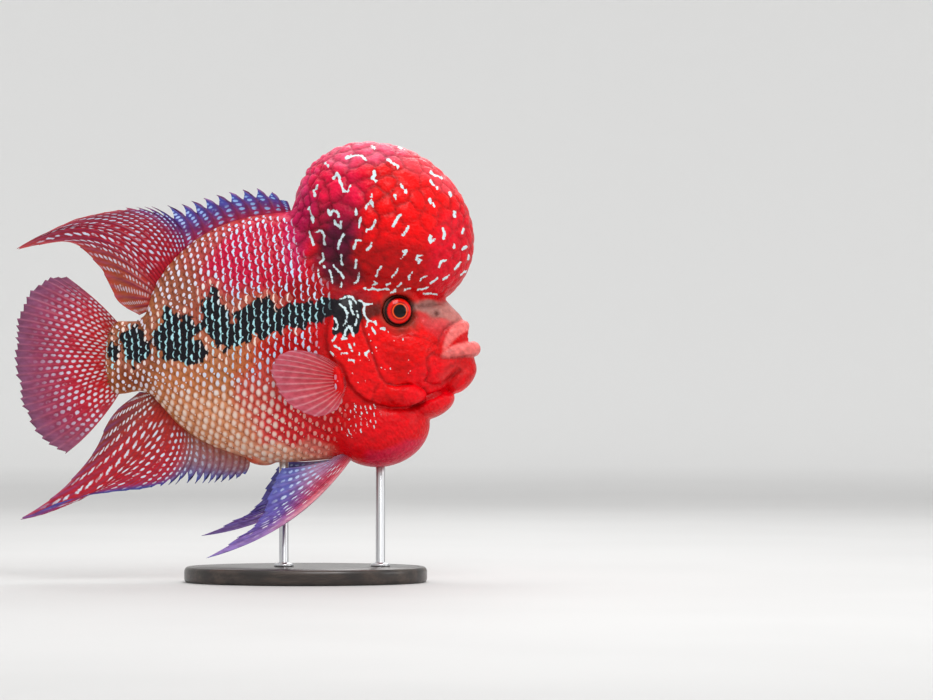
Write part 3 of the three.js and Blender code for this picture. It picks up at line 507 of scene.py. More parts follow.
# Bulbs of the hump
def bulb_spacing(u, v):
    rear = smooth_step(345, 315, u)
    front = smooth_step(405, 440, u)
    low = smooth_step(235, 270, v)
    return 12.5 - 5.0 * rear - 4.0 * front - 3.0 * low * (1 - rear) * (1 - front)


def bulb_centres(seed):
    """Centres spread over the hump, closer together at its rear and front, and how far apart they are."""
    rng = np.random.default_rng(seed)
    ways = rng.normal(size=(5000, 3))
    ways = ways / np.linalg.norm(ways, axis=1)[:, None] * np.array(HUMP[1])
    tilt = math.radians(HUMP[2])
    x = HUMP[0][0] + ways[:, 0] * math.cos(tilt) - ways[:, 2] * math.sin(tilt)
    z = HUMP[0][2] + ways[:, 2] * math.cos(tilt) + ways[:, 0] * math.sin(tilt)
    gaps = bulb_spacing(*to_plan(x, z)) * rng.uniform(0.8, 1.15, len(ways))
    kept = []
    for i in range(len(ways)):
        apart = np.linalg.norm(ways[kept] - ways[i], axis=1)
        if np.all(apart > 0.41 * (gaps[kept] + gaps[i])):
            kept.append(i)
    return ways[kept], gaps[kept], rng.uniform(0.4, 1.0, len(kept))


def hump_share(points):
    """How much each point belongs to the hump, from 0 to 1."""
    u, v = to_plan(points[:, 0], points[:, 2])
    edge = smooth_curve([(285, 205), (292, 222), (298, 250), (310, 270), (330, 285), (350, 291), (385, 291),
                         (410, 294), (440, 301), (480, 303)])
    rear = smooth_curve([(205, 285), (222, 287), (250, 293), (270, 305), (287, 326)])
    below = smooth_step(-3, 6, edge(u) - v)
    behind = smooth_step(-3, 5, u - np.where(v < 287, rear(v), 332))
    return np.minimum(below, behind)


def bulb_rise(points):
    """Pillow shapes of the hump's bulbs, from 0 in the creases between them to 1, and their heights."""
    centres, gaps, heights = bulb_centres(11)
    local = np.stack(in_swelling(HUMP, *points.T), axis=1)
    local = local + np.stack([wave_noise(*points.T, 5.0, k) for k in (51, 52, 53)], axis=1) * 0.9
    first, second = np.full(len(local), 1e9), np.full(len(local), 1e9)
    owner = np.zeros(len(local), int)
    for i, (c, gap) in enumerate(zip(centres, gaps)):
        close = np.flatnonzero(np.abs(local - c).max(axis=1) < 26)
        d = np.linalg.norm(local[close] - c, axis=1) / gap
        f, g = first[close], second[close]
        second[close] = np.where(d < f, f, np.minimum(g, d))
        first[close] = np.minimum(f, d)
        owner[close[d < f]] = i
    pillow = np.sqrt(np.clip((second - first) * 1.5, 0, 1))
    return pillow, heights[owner]


def bulb_strength(points):
    u, v = to_plan(points[:, 0], points[:, 2])
    front = smooth_step(350, 420, u)
    low = smooth_step(215, 262, v + 0.10 * (u - 330))
    rim = smooth_step(430, 455, u) * smooth_step(300, 250, v)
    calm = (1 - 0.35 * front) * (1 - 0.52 * low * smooth_step(325, 360, u))
    return np.maximum(calm, 0.5 * rim) * hump_share(points)


def skin_relief(points):
    """How far the finished skin stands out: bulbs, gill cover, folds, eye rings and nostrils."""
    x, y, z = points.T
    u, v = to_plan(x, z)
    side = smooth_step(4, 12, np.abs(y))
    rise = np.zeros(len(points))
    strength = bulb_strength(points)
    bulbous = strength > 0.002
    pillow, height = bulb_rise(points[bulbous])
    rise[bulbous] += (pillow * (0.5 + 0.5 * height) - 0.35) * strength[bulbous] * 2.4

    cover = inside_outline(u, v, COVER_EDGE + [(470, 380), (440, 300), (345, 290)])
    edge = line_distance(u, v, COVER_EDGE) * UNIT
    signed = np.where(cover, -edge, edge)
    step = smooth_step(0.9, -0.9, signed) * smooth_step(26, 8, -signed)
    along = smooth_step(296, 312, v) * smooth_step(452, 436, u)
    rise += side * along * (1.5 * step - bell(signed, 1.4, 1.6))

    for line, depth, width in FOLDS:
        d = line_distance(u, v, line) * UNIT
        rise -= side * depth * (bell(d, 0, 0.6 * width) - 0.35 * bell(d, 2.2 * width, 1.2 * width))

    r = np.hypot(x - EYE["x"], (z - EYE["z"]))
    at_eye = np.abs(y) > 8
    rise += at_eye * (bell(r, 12.3, 1.3) - 0.5 * bell(r, 15.2, 1.2))
    rise -= at_eye * 4.0 * smooth_step(10.6, 9.2, r)
    n = np.hypot(x - NOSTRIL[0], z - NOSTRIL[1])
    rise += (np.abs(y) > 5) * (0.5 * bell(n, 2.3, 0.8) - 2.2 * smooth_step(1.7, 0.7, n))
    return rise


# Colours
def linear(hex_colour):
    c = np.array([int(hex_colour[i:i + 2], 16) for i in (0, 2, 4)]) / 255
    return np.where(c <= 0.04045, c / 12.92, ((c + 0.055) / 1.055) ** 2.4)


def over(tint, colour, share):
    """A tint with a colour, as hex or values, laid over it by a share."""
    share = share[..., None]
    return tint * (1 - share) + (linear(colour) if isinstance(colour, str) else colour) * share


def blend_colours(place, *stops):
    """A colour along a row of (place, hex) stops."""
    places = [p for p, _ in stops]
    colours = np.array([linear(c) for _, c in stops])
    return np.stack([np.interp(place, places, colours[:, i]) for i in range(3)], axis=-1)


# Soft patches of colour in the plan, one of them a painted highlight: centre, half sizes, tilt, colour,
# strength
COLOUR_AND_HIGHLIGHT_PATCHES = [
    ((215, 285), (62, 58), -20, "a04038", 0.8), ((256, 250), (66, 42), -24, "cc0440", 0.95),
    ((290, 262), (40, 34), -25, "c40430", 0.9), ((205, 250), (30, 13), -38, "b05048", 0.7),
    ((175, 290), (26, 30), -35, "9c5c44", 0.8), ((310, 300), (40, 26), 0, "9a0410", 0.9),
    ((300, 350), (46, 22), 0, "c00810", 0.9), ((140, 350), (36, 44), 0, "8a4a30", 0.85),
    ((128, 380), (20, 14), 0, "8c4020", 0.7), ((190, 390), (44, 24), 20, "cc7c4c", 0.8),
    ((225, 425), (46, 26), 24, "e09468", 0.85), ((262, 395), (26, 34), 10, "d04c44", 0.8),
    ((288, 430), (34, 22), 4, "f05050", 0.75), ((305, 412), (38, 40), 0, "e01c28", 0.9),
    ((270, 453), (54, 12), 4, "f0b090", 0.85), ((320, 448), (24, 9), 4, "dc8070", 0.7),
    ((345, 425), (22, 34), 0, "d00008", 0.8), ((385, 435), (46, 30), -20, "e40010", 1.0),
    ((395, 458), (50, 14), -22, "cc2048", 0.7), ((388, 345), (60, 62), 0, "f00004", 1.0),
    ((435, 385), (36, 28), -20, "f00014", 0.95), ((395, 365), (24, 22), 0, "d40002", 0.7),
    ((370, 372), (24, 26), 0, "f00410", 0.7), ((352, 335), (26, 40), 0, "e80004", 0.8),
    ((455, 372), (16, 12), -30, "d03838", 0.6), ((385, 215), (92, 78), -30, "e8000a", 1.0),
    ((415, 205), (48, 44), -20, "ff0004", 0.9), ((395, 268), (70, 26), 4, "b80004", 0.9),
    ((455, 250), (26, 52), 18, "e80428", 0.7), ((330, 190), (44, 40), -40, "f00848", 0.85),
    ((300, 225), (16, 52), 8, "c40c54", 0.9), ((335, 228), (30, 26), -20, "9c0a38", 0.8),
    # The pale pink strip at (360, 153), along the top of the hump, is a painted highlight.
    ((360, 153), (70, 16), -6, "fc5c84", 0.75), ((430, 170), (46, 14), 34, "fc5868", 0.6),
    ((300, 180), (14, 40), 24, "f0407c", 0.6), ((336, 252), (18, 33), 12, "500c34", 0.86),
    ((344, 272), (17, 20), 0, "4a0c22", 0.8), ((352, 300), (20, 10), 0, "7a1020", 0.7),
    ((400, 313), (21, 21), 0, "743a2c", 0.95), ((371, 311), (13, 10), 0, "3c1810", 0.9),
    ((434, 309), (24, 8.5), 4, "a87870", 0.95), ((452, 315), (16, 9), 30, "c88078", 0.9),
    ((445, 324), (26, 7), 8, "d46060", 0.7), ((436, 330), (14, 9), 30, "d83038", 0.6),
    ((462, 352), (9, 3), 0, "d81820", 0.5),
]
PALE_MARK = tuple(0.9 * linear("dcf0f4"))
BLACK = (0.010, 0.008, 0.012)


def skin_tint(points):
    """The skin's colour at each point, without its marks, with painted shade in the creases and a painted
    highlight on top of the hump.
    """
    x, y, z = points.T
    u, v = to_plan(x, z)
    wander = wave_noise(x, y, z, 9, 5) * 3.5 + wave_noise(x, y, z, 3.5, 6) * 1.4
    uu, vv = u + wander, v + wave_noise(x, y, z, 8, 8) * 3.5
    red = smooth_step(225, 300, uu + 0.15 * (vv - 350))[:, None]
    tint = linear("c07848") * (1 - red) + linear("d00008") * red
    for centre, half, tilt, colour, strength in COLOUR_AND_HIGHLIGHT_PATCHES:
        tint = over(tint, colour, strength * smooth_step(1.25, 0.55, oval_reach(uu, vv, centre, half, tilt)))
    to_lips = np.minimum(lip_distance(UPPER_LIP, x, y, z), lip_distance(LOWER_LIP, x, y, z))
    # Random tone on the lips, with painted light: lighter towards the top of the lips and darker towards the
    # bottom.
    tone_and_painted_light = 1 + 0.16 * wave_noise(x, y, z, 2.5, 12) + 0.10 * np.clip((z - 150) / 8, -1, 1)
    tint = over(tint, linear("f07470") * tone_and_painted_light[:, None], smooth_step(1.3, 0.2, to_lips))
    tint = over(tint, "a00810", smooth_step(1.2, 0.2, swelling_distance(MOUTH, x, y, z)) * (to_lips > 0.8))
    # Painted shade in the creases between the hump's bulbs.
    strength = bulb_strength(points)
    bulbous = strength > 0.002
    pillow, _ = bulb_rise(points[bulbous])
    tint[bulbous] *= (1 - 0.72 * np.clip(strength[bulbous] * 1.3, 0, 1) ** 1.6 * (1 - pillow) ** 1.3)[:, None]
    # Painted shade along the folds of the head and the gill cover's edge.
    side = smooth_step(4, 12, np.abs(y))
    crease_shade = np.zeros(len(points))
    for line, depth, width in FOLDS + [(COVER_EDGE, 0.9, 1.6)]:
        away = line_distance(u, v, line) * UNIT
        crease_shade = np.maximum(crease_shade, side * min(depth, 1) * bell(away, 0, 0.8 * width))
    tint = tint * (1 - 0.62 * crease_shade[:, None] * np.array([0.8, 1, 1]))
    return np.clip(tint * (1 + 0.10 * wave_noise(x, y, z, 2.6, 21))[:, None], 0, 1)


def wrinkle_run(points):
    """A place across the fine wrinkles of the cheek and throat, in millimetres, and how strong they are."""
    u, v = to_plan(points[:, 0], points[:, 2])
    around_eye = np.hypot(u - 402, v - 306) * UNIT
    slant = (u * 0.80 - v * 0.60) * UNIT
    throat = smooth_step(396, 408, v + 0.25 * (u - 400) * (u > 400))
    cheek = smooth_step(26, 36, around_eye / UNIT) * smooth_step(352, 372, u) * smooth_step(446, 432, u)
    strength = np.maximum(0.8 * cheek * (1 - throat), throat) * smooth_step(3, 9, np.abs(points[:, 1]))
    return np.where(throat > 0.5, slant, around_eye), strength


def black_depth(points):
    """Distance in millimetres to the black flower line, negative inside it."""
    x, y, z = points.T
    u, v = to_plan(x, z)
    best = np.full(len(points), 99.0)
    for centre, half, tilt in BLACK_PATCHES:
        best = np.minimum(best, (oval_reach(u, v, centre, half, tilt) - 1) * min(half) * UNIT)
    return best + wave_noise(x, y, z, 4.0, 31) * 1.6


def mark_depth(points):
    """Distance in millimetres to the edge of the pale marks of the head, negative inside them."""
    x, y, z = points.T
    u, v = to_plan(x, z)
    best = np.full(len(points), 9.0)
    width = 0.66 + 0.34 * wave_noise(x, y, z, 1.7, 41)
    dots = [[d, (d[0] + 0.3, d[1] + 0.8)] for d in CHEEK_DOTS]
    bold = [line for line in HUMP_MARKS if max(p[1] for p in line) < 255]
    plain = [line for line in HUMP_MARKS if line not in bold] + CHEEK_MARKS
    for lines, share in ((bold, 1.25), (plain, 1.0), (throat_marks() + dots, 0.6)):
        for line in lines:
            us, vs = zip(*line)
            close = (u > min(us) - 8) & (u < max(us) + 8) & (v > min(vs) - 8) & (v < max(vs) + 8)
            if close.any():
                d = line_distance(u[close], v[close], line) * UNIT - width[close] * share
                best[close] = np.minimum(best[close], d)
    return np.where(np.abs(y) < 2.5, 9.0, best)


# Meshes and materials
def oval_rings(sizes, around, x, y):
    """Level ovals round one upright axis, from their half lengths, half widths and heights."""
    angle = np.linspace(0, 2 * math.pi, around, endpoint=False)
    return np.array([np.stack([x + a * np.cos(angle), y + b * np.sin(angle), np.full(around, z)], axis=1)
                     for a, b, z in sizes])


def closed_rings(rings, first, last=None):
    """Points and quads of a row of closed rings, with a fan to each end point that is given."""
    count, around = rings.shape[:2]
    ends = [first] if last is None else [first, last]
    i, j = np.meshgrid(np.arange(count - 1), np.arange(around), indexing="ij")
    k = (j + 1) % around
    wall = np.stack([i * around + j, i * around + k, (i + 1) * around + k, (i + 1) * around + j], axis=-1)
    quads = [wall.reshape(-1, 4)]
    a = np.arange(0, around, 2)
    b, c = a + 1, (a + 2) % around
    quads.append(np.stack([np.full(len(a), count * around), c, b, a], axis=1))
    if last is not None:
        top = (count - 1) * around
        quads.append(np.stack([np.full(len(a), count * around + 1), top + a, top + b, top + c], axis=1))
    return np.concatenate([rings.reshape(-1, 3), ends]), np.concatenate(quads)


def put_on_points(mesh, name, kind, values):
    """Store a value or vector for each point of a mesh."""
    values = np.asarray(values).astype(np.int32 if kind == "INT" else np.float32)
    key = "vector" if kind == "FLOAT_VECTOR" else "value"
    mesh.attributes.new(name, kind, "POINT").data.foreach_set(key, values.ravel())


def add_mesh(name, points, quads, material, floats=None, colours=None, uvs=None):
    """A mesh piece in metres at the origin, from points in millimetres."""
    mesh = bpy.data.meshes.new(name)
    mesh.vertices.add(len(points))
    mesh.vertices.foreach_set("co", (np.asarray(points) * MM).astype(np.float32).ravel())
    mesh.loops.add(quads.size)
    mesh.loops.foreach_set("vertex_index", quads.astype(np.int32).ravel())
    mesh.polygons.add(len(quads))
    mesh.polygons.foreach_set("loop_start", np.arange(0, quads.size, 4, dtype=np.int32))
    mesh.update(calc_edges=True)
    mesh.validate()
    mesh.polygons.foreach_set("use_smooth", np.ones(len(mesh.polygons), bool))
    loop_vertices = np.zeros(len(mesh.loops), np.int32)
    mesh.loops.foreach_get("vertex_index", loop_vertices)
    for key, values in (floats or {}).items():
        put_on_points(mesh, key, "FLOAT", values)
    for key, values in (colours or {}).items():
        layer = mesh.color_attributes.new(key, "FLOAT_COLOR", "POINT")
        rgba = np.ones((len(points), 4), np.float32)
        rgba[:, :3] = values
        layer.data.foreach_set("color", rgba.ravel())
    for key, values in (uvs or {}).items():
        layer = mesh.uv_layers.new(name=key)
        layer.data.foreach_set("uv", np.asarray(values, np.float32)[loop_vertices].ravel())
    mesh.materials.append(material)
    piece = bpy.data.objects.new(name, mesh)
    bpy.context.scene.collection.objects.link(piece)
    return piece


def finish_piece(piece, slot_name, *nodes):
    if slot_name not in RECORD_CLASSES:
        raise RuntimeError("no material slot " + slot_name)
    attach(piece, "root")
    if nodes:
        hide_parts(*nodes)
    return piece


class Wire:
    """One value in a material's node tree, which plain arithmetic extends by a node."""

    def __init__(self, wires, socket):
        self.wires, self.socket = wires, socket

    def __add__(self, other):
        return self.wires.math("ADD", self, other)

    def __sub__(self, other):
        return self.wires.math("SUBTRACT", self, other)

    def __rsub__(self, other):
        return self.wires.math("SUBTRACT", other, self)

    def __mul__(self, other):
        return self.wires.math("MULTIPLY", self, other)

    def __truediv__(self, other):
        return self.wires.math("DIVIDE", self, other)


class Wires:
    """A short way to lay out the nodes of a material."""

    def __init__(self, name, roughness, coat=0.0, subsurface=0.0, metallic=0.0, specular=0.5):
        self.material = bpy.data.materials.new(name)
        self.material.use_nodes = True
        self.nodes = self.material.node_tree.nodes
        self.links = self.material.node_tree.links
        self.shader = self.nodes["Principled BSDF"]
        for socket, value in (
            ("Roughness", roughness), ("Metallic", metallic), ("Specular IOR Level", specular),
            ("Coat Weight", coat), ("Coat Roughness", 0.12), ("Subsurface Weight", subsurface),
            ("Subsurface Radius", (0.9, 0.25, 0.12)), ("Subsurface Scale", 0.004),
        ):
            self.plug(socket, value)

    def join(self, value, socket):
        if isinstance(value, Wire):
            self.links.new(value.socket, socket)
        elif isinstance(value, tuple) and len(value) < len(socket.default_value):
            socket.default_value = (*value, 1.0)
        else:
            socket.default_value = value

    def plug(self, socket, value):
        self.join(value, self.shader.inputs[socket])

    def node(self, kind, output, values, **settings):
        """A new node with its inputs set or linked, and the wire from one of its outputs."""
        n = self.nodes.new(kind)
        for key, value in settings.items():
            setattr(n, key, value)
        for key, value in values.items():
            self.join(value, n.inputs[key])
        return Wire(self, n.outputs[output])

    def math(self, operation, a, b=0.0):
        return self.node("ShaderNodeMath", 0, {0: a, 1: b}, operation=operation)

    def reach(self, a, b):
        return self.math("SQRT", a * a + b * b)

    def ramp(self, value, low, high):
        """0 below low and 1 above high, softly; high may be the smaller of the two."""
        ends = {"To Min": 1.0, "To Max": 0.0} if high < low else {"To Min": 0.0, "To Max": 1.0}
        values = {"Value": value, "From Min": min(low, high), "From Max": max(low, high), **ends}
        return self.node("ShaderNodeMapRange", "Result", values, interpolation_type="SMOOTHSTEP")

    def mix(self, share, a, b, blend="MIX"):
        return self.node("ShaderNodeMix", 2, {0: share, 6: a, 7: b},
                         data_type="RGBA", blend_type=blend)

    def attribute(self, name, output="Fac"):
        return self.node("ShaderNodeAttribute", output, {}, attribute_name=name)

    def along_and_across(self, uv_map):
        uv = self.node("ShaderNodeUVMap", 0, {}, uv_map=uv_map)
        return [self.node("ShaderNodeSeparateXYZ", i, {0: uv}) for i in (0, 1)]

    def place(self):
        return self.node("ShaderNodeTexCoord", "Object", {})

    def noise(self, scale, detail=3.0, stretch=(1, 1, 1)):
        mapped = self.node("ShaderNodeMapping", 0, {"Vector": self.place(), "Scale": stretch})
        return self.node("ShaderNodeTexNoise", "Fac", {"Vector": mapped, "Scale": scale, "Detail": detail})

    def cells(self, scale):
        return self.node("ShaderNodeTexVoronoi", "Distance", {"Vector": self.place(), "Scale": scale})

    def bump(self, height, strength, distance, before=None):
        values = {"Strength": strength, "Distance": distance, "Height": height}
        if before:
            values["Normal"] = before
        return self.node("ShaderNodeBump", 0, values)


def marked_skin(w):
    """Colour shared by the skin and the scales, with fine mottling, and where the black flower line is."""
    mottle = w.ramp(w.noise(420, 4), 0.32, 0.7)
    tint = w.mix(mottle * 0.22, w.attribute("Tint", "Color"), (0.30, 0.0, 0.01), "MULTIPLY")
    return tint, w.ramp(w.attribute("Black") + w.noise(260, 3) * 1.2, 1.1, 0.0)


def skin_material():
    w = Wires("wet_skin", 0.36, coat=0.11, subsurface=0.05, specular=0.12)
    tint, black = marked_skin(w)
    marks = w.ramp(w.attribute("Marks") + (w.noise(1100, 2) - 0.5), 0.12, -0.12)
    w.plug("Base Color", w.mix(marks, w.mix(black, tint, BLACK), PALE_MARK))
    w.plug("Roughness", w.noise(300, 4) * 0.24 + 0.26)
    pebbles = w.bump(w.cells(560), 0.6, 0.0006)
    phase = w.attribute("Run") * 2.3 + w.noise(120, 4) * 20.0
    patchy = w.attribute("Wrinkle") * w.ramp(w.noise(90, 2), 0.3, 0.65)
    rows = w.bump(w.math("SINE", phase) * patchy, 0.4, 0.0003, pebbles)
    wrinkles = w.bump(w.noise(230, 5, (1.0, 0.5, 1.4)), 0.6, 0.0014, rows)
    w.plug("Normal", w.bump(marks, 0.4, 0.0003, wrinkles))
    return w.material


def scale_material():
    w = Wires("pearled_scales", 0.30, coat=0.08, subsurface=0.04, specular=0.10)
    tint, black = marked_skin(w)
    along, across = w.along_and_across("ScaleUV")
    names = ("PearlLong", "PearlSoft", "Chance", "Size")
    long_mark, soft, chance, size = (w.attribute(name) for name in names)
    bend = across * across * (long_mark * 0.13 + 0.01)
    wobble = (w.noise(420, 3) - 0.5) * (long_mark * 0.12 + 0.14)
    width = long_mark * -0.042 + soft * 0.05 + chance * 0.05 + 0.075
    height = long_mark * 0.26 + soft * 0.10 + size * 0.26 + 0.38
    off = along - (chance * 0.07 + 0.71) + bend + wobble
    reach = w.reach(off / width, (across + (w.noise(300, 2) - 0.5) * 0.25) / height)
    pearl = w.ramp(reach, 1.12, 0.82) * (1.0 - soft) + w.ramp(reach, 1.5, 0.35) * soft
    dot = w.ramp(w.reach((along - 0.60) / 0.055, (across - 0.64) / 0.17), 1.15, 0.75)
    pearl = w.math("MAXIMUM", pearl, dot * w.ramp(size, 0.5, 0.42)) * w.attribute("Pearl")
    # The darker rear and side edges of each plate are partly the scales' own edge colour and partly painted
    # shade where the plates overlap.
    rim = w.math("MAXIMUM", w.ramp(along, 0.88, 0.98), w.ramp(w.math("ABSOLUTE", across), 0.72, 0.98))
    colour = w.mix(black, w.mix(rim * 0.6, tint, (0.35, 0.15, 0.10), "MULTIPLY"), BLACK)
    w.plug("Base Color", w.mix(pearl, colour, w.attribute("PearlTint", "Color")))
    w.plug("Roughness", w.noise(300, 3) * 0.2 + 0.22)
    w.plug("Normal", w.bump(pearl, 0.5, 0.0004, w.bump(w.noise(900, 3), 0.25, 0.0003)))
    return w.material


# Operators
class FLOWERHORN_OT_skin(bpy.types.Operator):
    """Build the one skin of the body, head, hump and lips"""

    bl_idname = "flowerhorn.skin"
    bl_label = "Skin"

    def execute(self, context):
        cell = context.scene.flowerhorn_sizes.skin_cell
        points, quads = surface_net(body_distance, (-94, 0, 66), (156, 48, 288), cell)
        points, normals = onto_surface(body_distance, points, 3, cell * 0.6)
        raised = points + normals * skin_relief(points)[:, None]
        run, wrinkle = wrinkle_run(points)
        black, marks = (np.clip(depth(points), -9, 9) for depth in (black_depth, mark_depth))
        piece = add_mesh("skin", raised, quads, skin_material(),
                         floats={"Black": black, "Marks": marks, "Run": run, "Wrinkle": wrinkle},
                         colours={"Tint": skin_tint(points)})
        finish_piece(piece, "head_skin", "nuchal_hump", "head", "throat", "torso", "tail_stalk",
                     "gill_cover_left", "gill_cover_right", "upper_lip", "lower_lip")
        return {"FINISHED"}


# Rows of scales on one side of the body
def scale_places(pitch_x, pitch_z):
    """Where each scale is rooted, with the height that it covers and its place along the section."""
    places = []
    rng = np.random.default_rng(23)
    for i, column in enumerate(np.arange(-88, 80, pitch_x)):
        low, high = belly_at(column) + 0.6, back_at(column) - 0.6
        z = np.linspace(low, high, 260)
        y = skin_at(np.full(260, column), z)
        arc = np.concatenate([[0], np.cumsum(np.hypot(np.diff(y), np.diff(z)))])
        middle = np.interp(np.interp(column, [-88, 60], [145, 150]), z, arc)
        pitch = pitch_z * np.interp(column, [-88, -55, 10], [0.74, 0.88, 1.0])
        steps = np.arange(-40, 40) * pitch + (pitch / 2 if i % 2 else 0) + middle
        steps = steps[(steps > 1.0) & (steps < arc[-1] - 1.0)]
        steps = steps + rng.uniform(-0.09, 0.09, len(steps)) * pitch
        share = (np.interp(steps, arc, z) - low) / (high - low)
        x = column - 9 * (2 * share - 1) ** 2 * np.interp(column, [-88, -40], [0, 1])
        x = x + rng.uniform(-0.3, 0.3, len(steps))
        bottom, top = belly_at(x) + 0.6, back_at(x) - 0.6
        z = bottom + share * (top - bottom)
        places.append(np.stack([x, -skin_at(x, z), z, np.full(len(x), pitch), steps], axis=1))
    return np.concatenate(places)


SCALED_AREA = [
    (108, 300), (150, 262), (200, 205), (296, 203), (302, 222), (307, 248), (317, 266), (333, 283),
    (341, 299), (331, 316), (325, 338), (329, 352), (340, 368), (346, 382), (352, 395), (352, 415),
    (345, 436), (338, 452), (322, 470), (200, 475), (100, 400), (98, 345),
]


def scale_plate():
    """One thin plate with a rounded rear edge, flat until it is laid on the body."""
    rows, columns = 7, 8
    grid = np.meshgrid(np.linspace(0, 1, rows) ** 0.9, np.linspace(-1, 1, columns), indexing="ij")
    q, c = (g.ravel() for g in grid)
    end = np.clip((q - 0.5) / 0.5, 0, 1)
    across = c * np.sqrt(np.clip(1 - end**2, 0.05, 1)) * np.where(q < 0.2, 0.8 + q, 1)
    lift = -0.35 + 0.80 * q + 0.30 * bell(q, 0.75, 0.22) - 0.30 * np.abs(c) ** 2.5
    rim = np.arange(columns) + (rows - 1) * columns
    points = np.stack([q * 2 - 1, across, np.zeros_like(q)], axis=1)
    faces = [(i * columns + j, (i + 1) * columns + j, (i + 1) * columns + j + 1, i * columns + j + 1)
             for i in range(rows - 1) for j in range(columns - 1)]
    faces += [(rim[j], len(points) + j, len(points) + j + 1, rim[j + 1]) for j in range(columns - 1)]
    local = np.stack([q, across, lift], axis=1)
    mesh = bpy.data.meshes.new("scale_plate")
    mesh.from_pydata(np.concatenate([points, points[rim]]).tolist(), [], faces)
    put_on_points(mesh, "local", "FLOAT_VECTOR", np.concatenate([local, local[rim] - (0, 0, 0.85)]))
    return bpy.data.objects.new("scale_plate", mesh)


def scale_tree():
    """Geometry nodes that set a plate on every root point."""
    tree = bpy.data.node_groups.new("scale_rows", "GeometryNodeTree")
    new_socket, make, join = tree.interface.new_socket, tree.nodes.new, tree.links.new
    kinds = {"Geometry": "Geometry", "Plate": "Object", "Size variation": "Float", "Seed": "Int",
             "Material": "Material"}
    sockets = {name: new_socket(name, in_out="INPUT", socket_type="NodeSocket" + kind).identifier
               for name, kind in kinds.items()}
    new_socket("Geometry", in_out="OUTPUT", socket_type="NodeSocketGeometry")
    given, result = make("NodeGroupInput").outputs, make("NodeGroupOutput")
    plate, euler = make("GeometryNodeObjectInfo"), make("FunctionNodeEulerToRotation")
    turn, size = make("GeometryNodeInputNamedAttribute"), make("GeometryNodeInputNamedAttribute")
    for n, name in ((turn, "turn"), (size, "size")):
        n.data_type = "FLOAT_VECTOR"
        n.inputs["Name"].default_value = name
    least, most, scaled = make("ShaderNodeMath"), make("ShaderNodeMath"), make("ShaderNodeVectorMath")
    least.operation, most.operation, scaled.operation = "SUBTRACT", "ADD", "SCALE"
    least.inputs[0].default_value = most.inputs[0].default_value = 1.0
    vary = make("FunctionNodeRandomValue")
    vary.data_type = "FLOAT"
    low, high = [n for n in vary.inputs if n.enabled][:2]
    varied = [n for n in vary.outputs if n.enabled][0]
    spread, real = make("GeometryNodeInstanceOnPoints"), make("GeometryNodeRealizeInstances")
    cover = make("GeometryNodeSetMaterial")
    for a, b in (
        (given["Geometry"], spread.inputs["Points"]),
        (given["Plate"], plate.inputs["Object"]),
        (plate.outputs["Geometry"], spread.inputs["Instance"]),
        (turn.outputs["Attribute"], euler.inputs[0]),
        (euler.outputs[0], spread.inputs["Rotation"]),
        (given["Size variation"], least.inputs[1]),
        (given["Size variation"], most.inputs[1]),
        (least.outputs[0], low),
        (most.outputs[0], high),
        (given["Seed"], vary.inputs["Seed"]),
        (size.outputs["Attribute"], scaled.inputs[0]),
        (varied, scaled.inputs["Scale"]),
        (scaled.outputs[0], spread.inputs["Scale"]),
        (spread.outputs[0], real.inputs[0]),
        (real.outputs[0], cover.inputs["Geometry"]),
        (given["Material"], cover.inputs["Material"]),
        (cover.outputs[0], result.inputs["Geometry"]),
    ):
        join(a, b)
    return tree, sockets


def scale_looks(root, owner, at, fade):
    """What the scales' material reads: depth in the black, form and strength of each pearl, and colours."""
    rng = np.random.default_rng(17)
    chance, size = (rng.uniform(0, 1, len(root))[owner] for _ in range(2))
    u, v = (p[owner] for p in to_plan(root[:, 0], root[:, 2]))
    to_black = black_depth(root)[owner]
    upper = smooth_step(372, 340, v + 0.2 * (u - 250)) * smooth_step(222, 236, v + 0.45 * (u - 250))
    worm = np.maximum(smooth_step(195, 245, u) * upper, smooth_step(3.0, -1.0, to_black) * 0.75)
    soft = smooth_step(372, 405, v + 0.1 * (u - 200)) * smooth_step(310, 270, u)
    faint = smooth_step(392, 420, v) * smooth_step(285, 315, u)
    strength = (0.75 + 0.25 * chance) * (1 - 0.12 * soft) * (1 - 0.6 * faint) * np.clip(fade * 1.2, 0, 1)
    pale = np.maximum(soft, smooth_step(385, 410, v) * smooth_step(255, 275, u))
    rear = smooth_step(250, 180, u)
    fringe = smooth_step(0.0, 1.2, to_black) * smooth_step(4.8, 2.6, to_black) * smooth_step(330, 290, u)
    pearl = over(over(linear("c2def8"), "e4e2f0", rear), "f6e2d4", pale)
    pearl = over(over(pearl, "f8e4d8", fringe), "b4eaf2", smooth_step(1.5, -1.0, to_black))
    black = np.clip(black_depth(at) + (chance - 0.5) * 3.2, -9, 9)
    floats = {"Black": black, "PearlLong": worm, "PearlSoft": soft, "Pearl": strength,
              "Chance": chance, "Size": size}
    return floats, {"Tint": over(skin_tint(at), "c87868", 0.4 * fringe), "PearlTint": pearl}


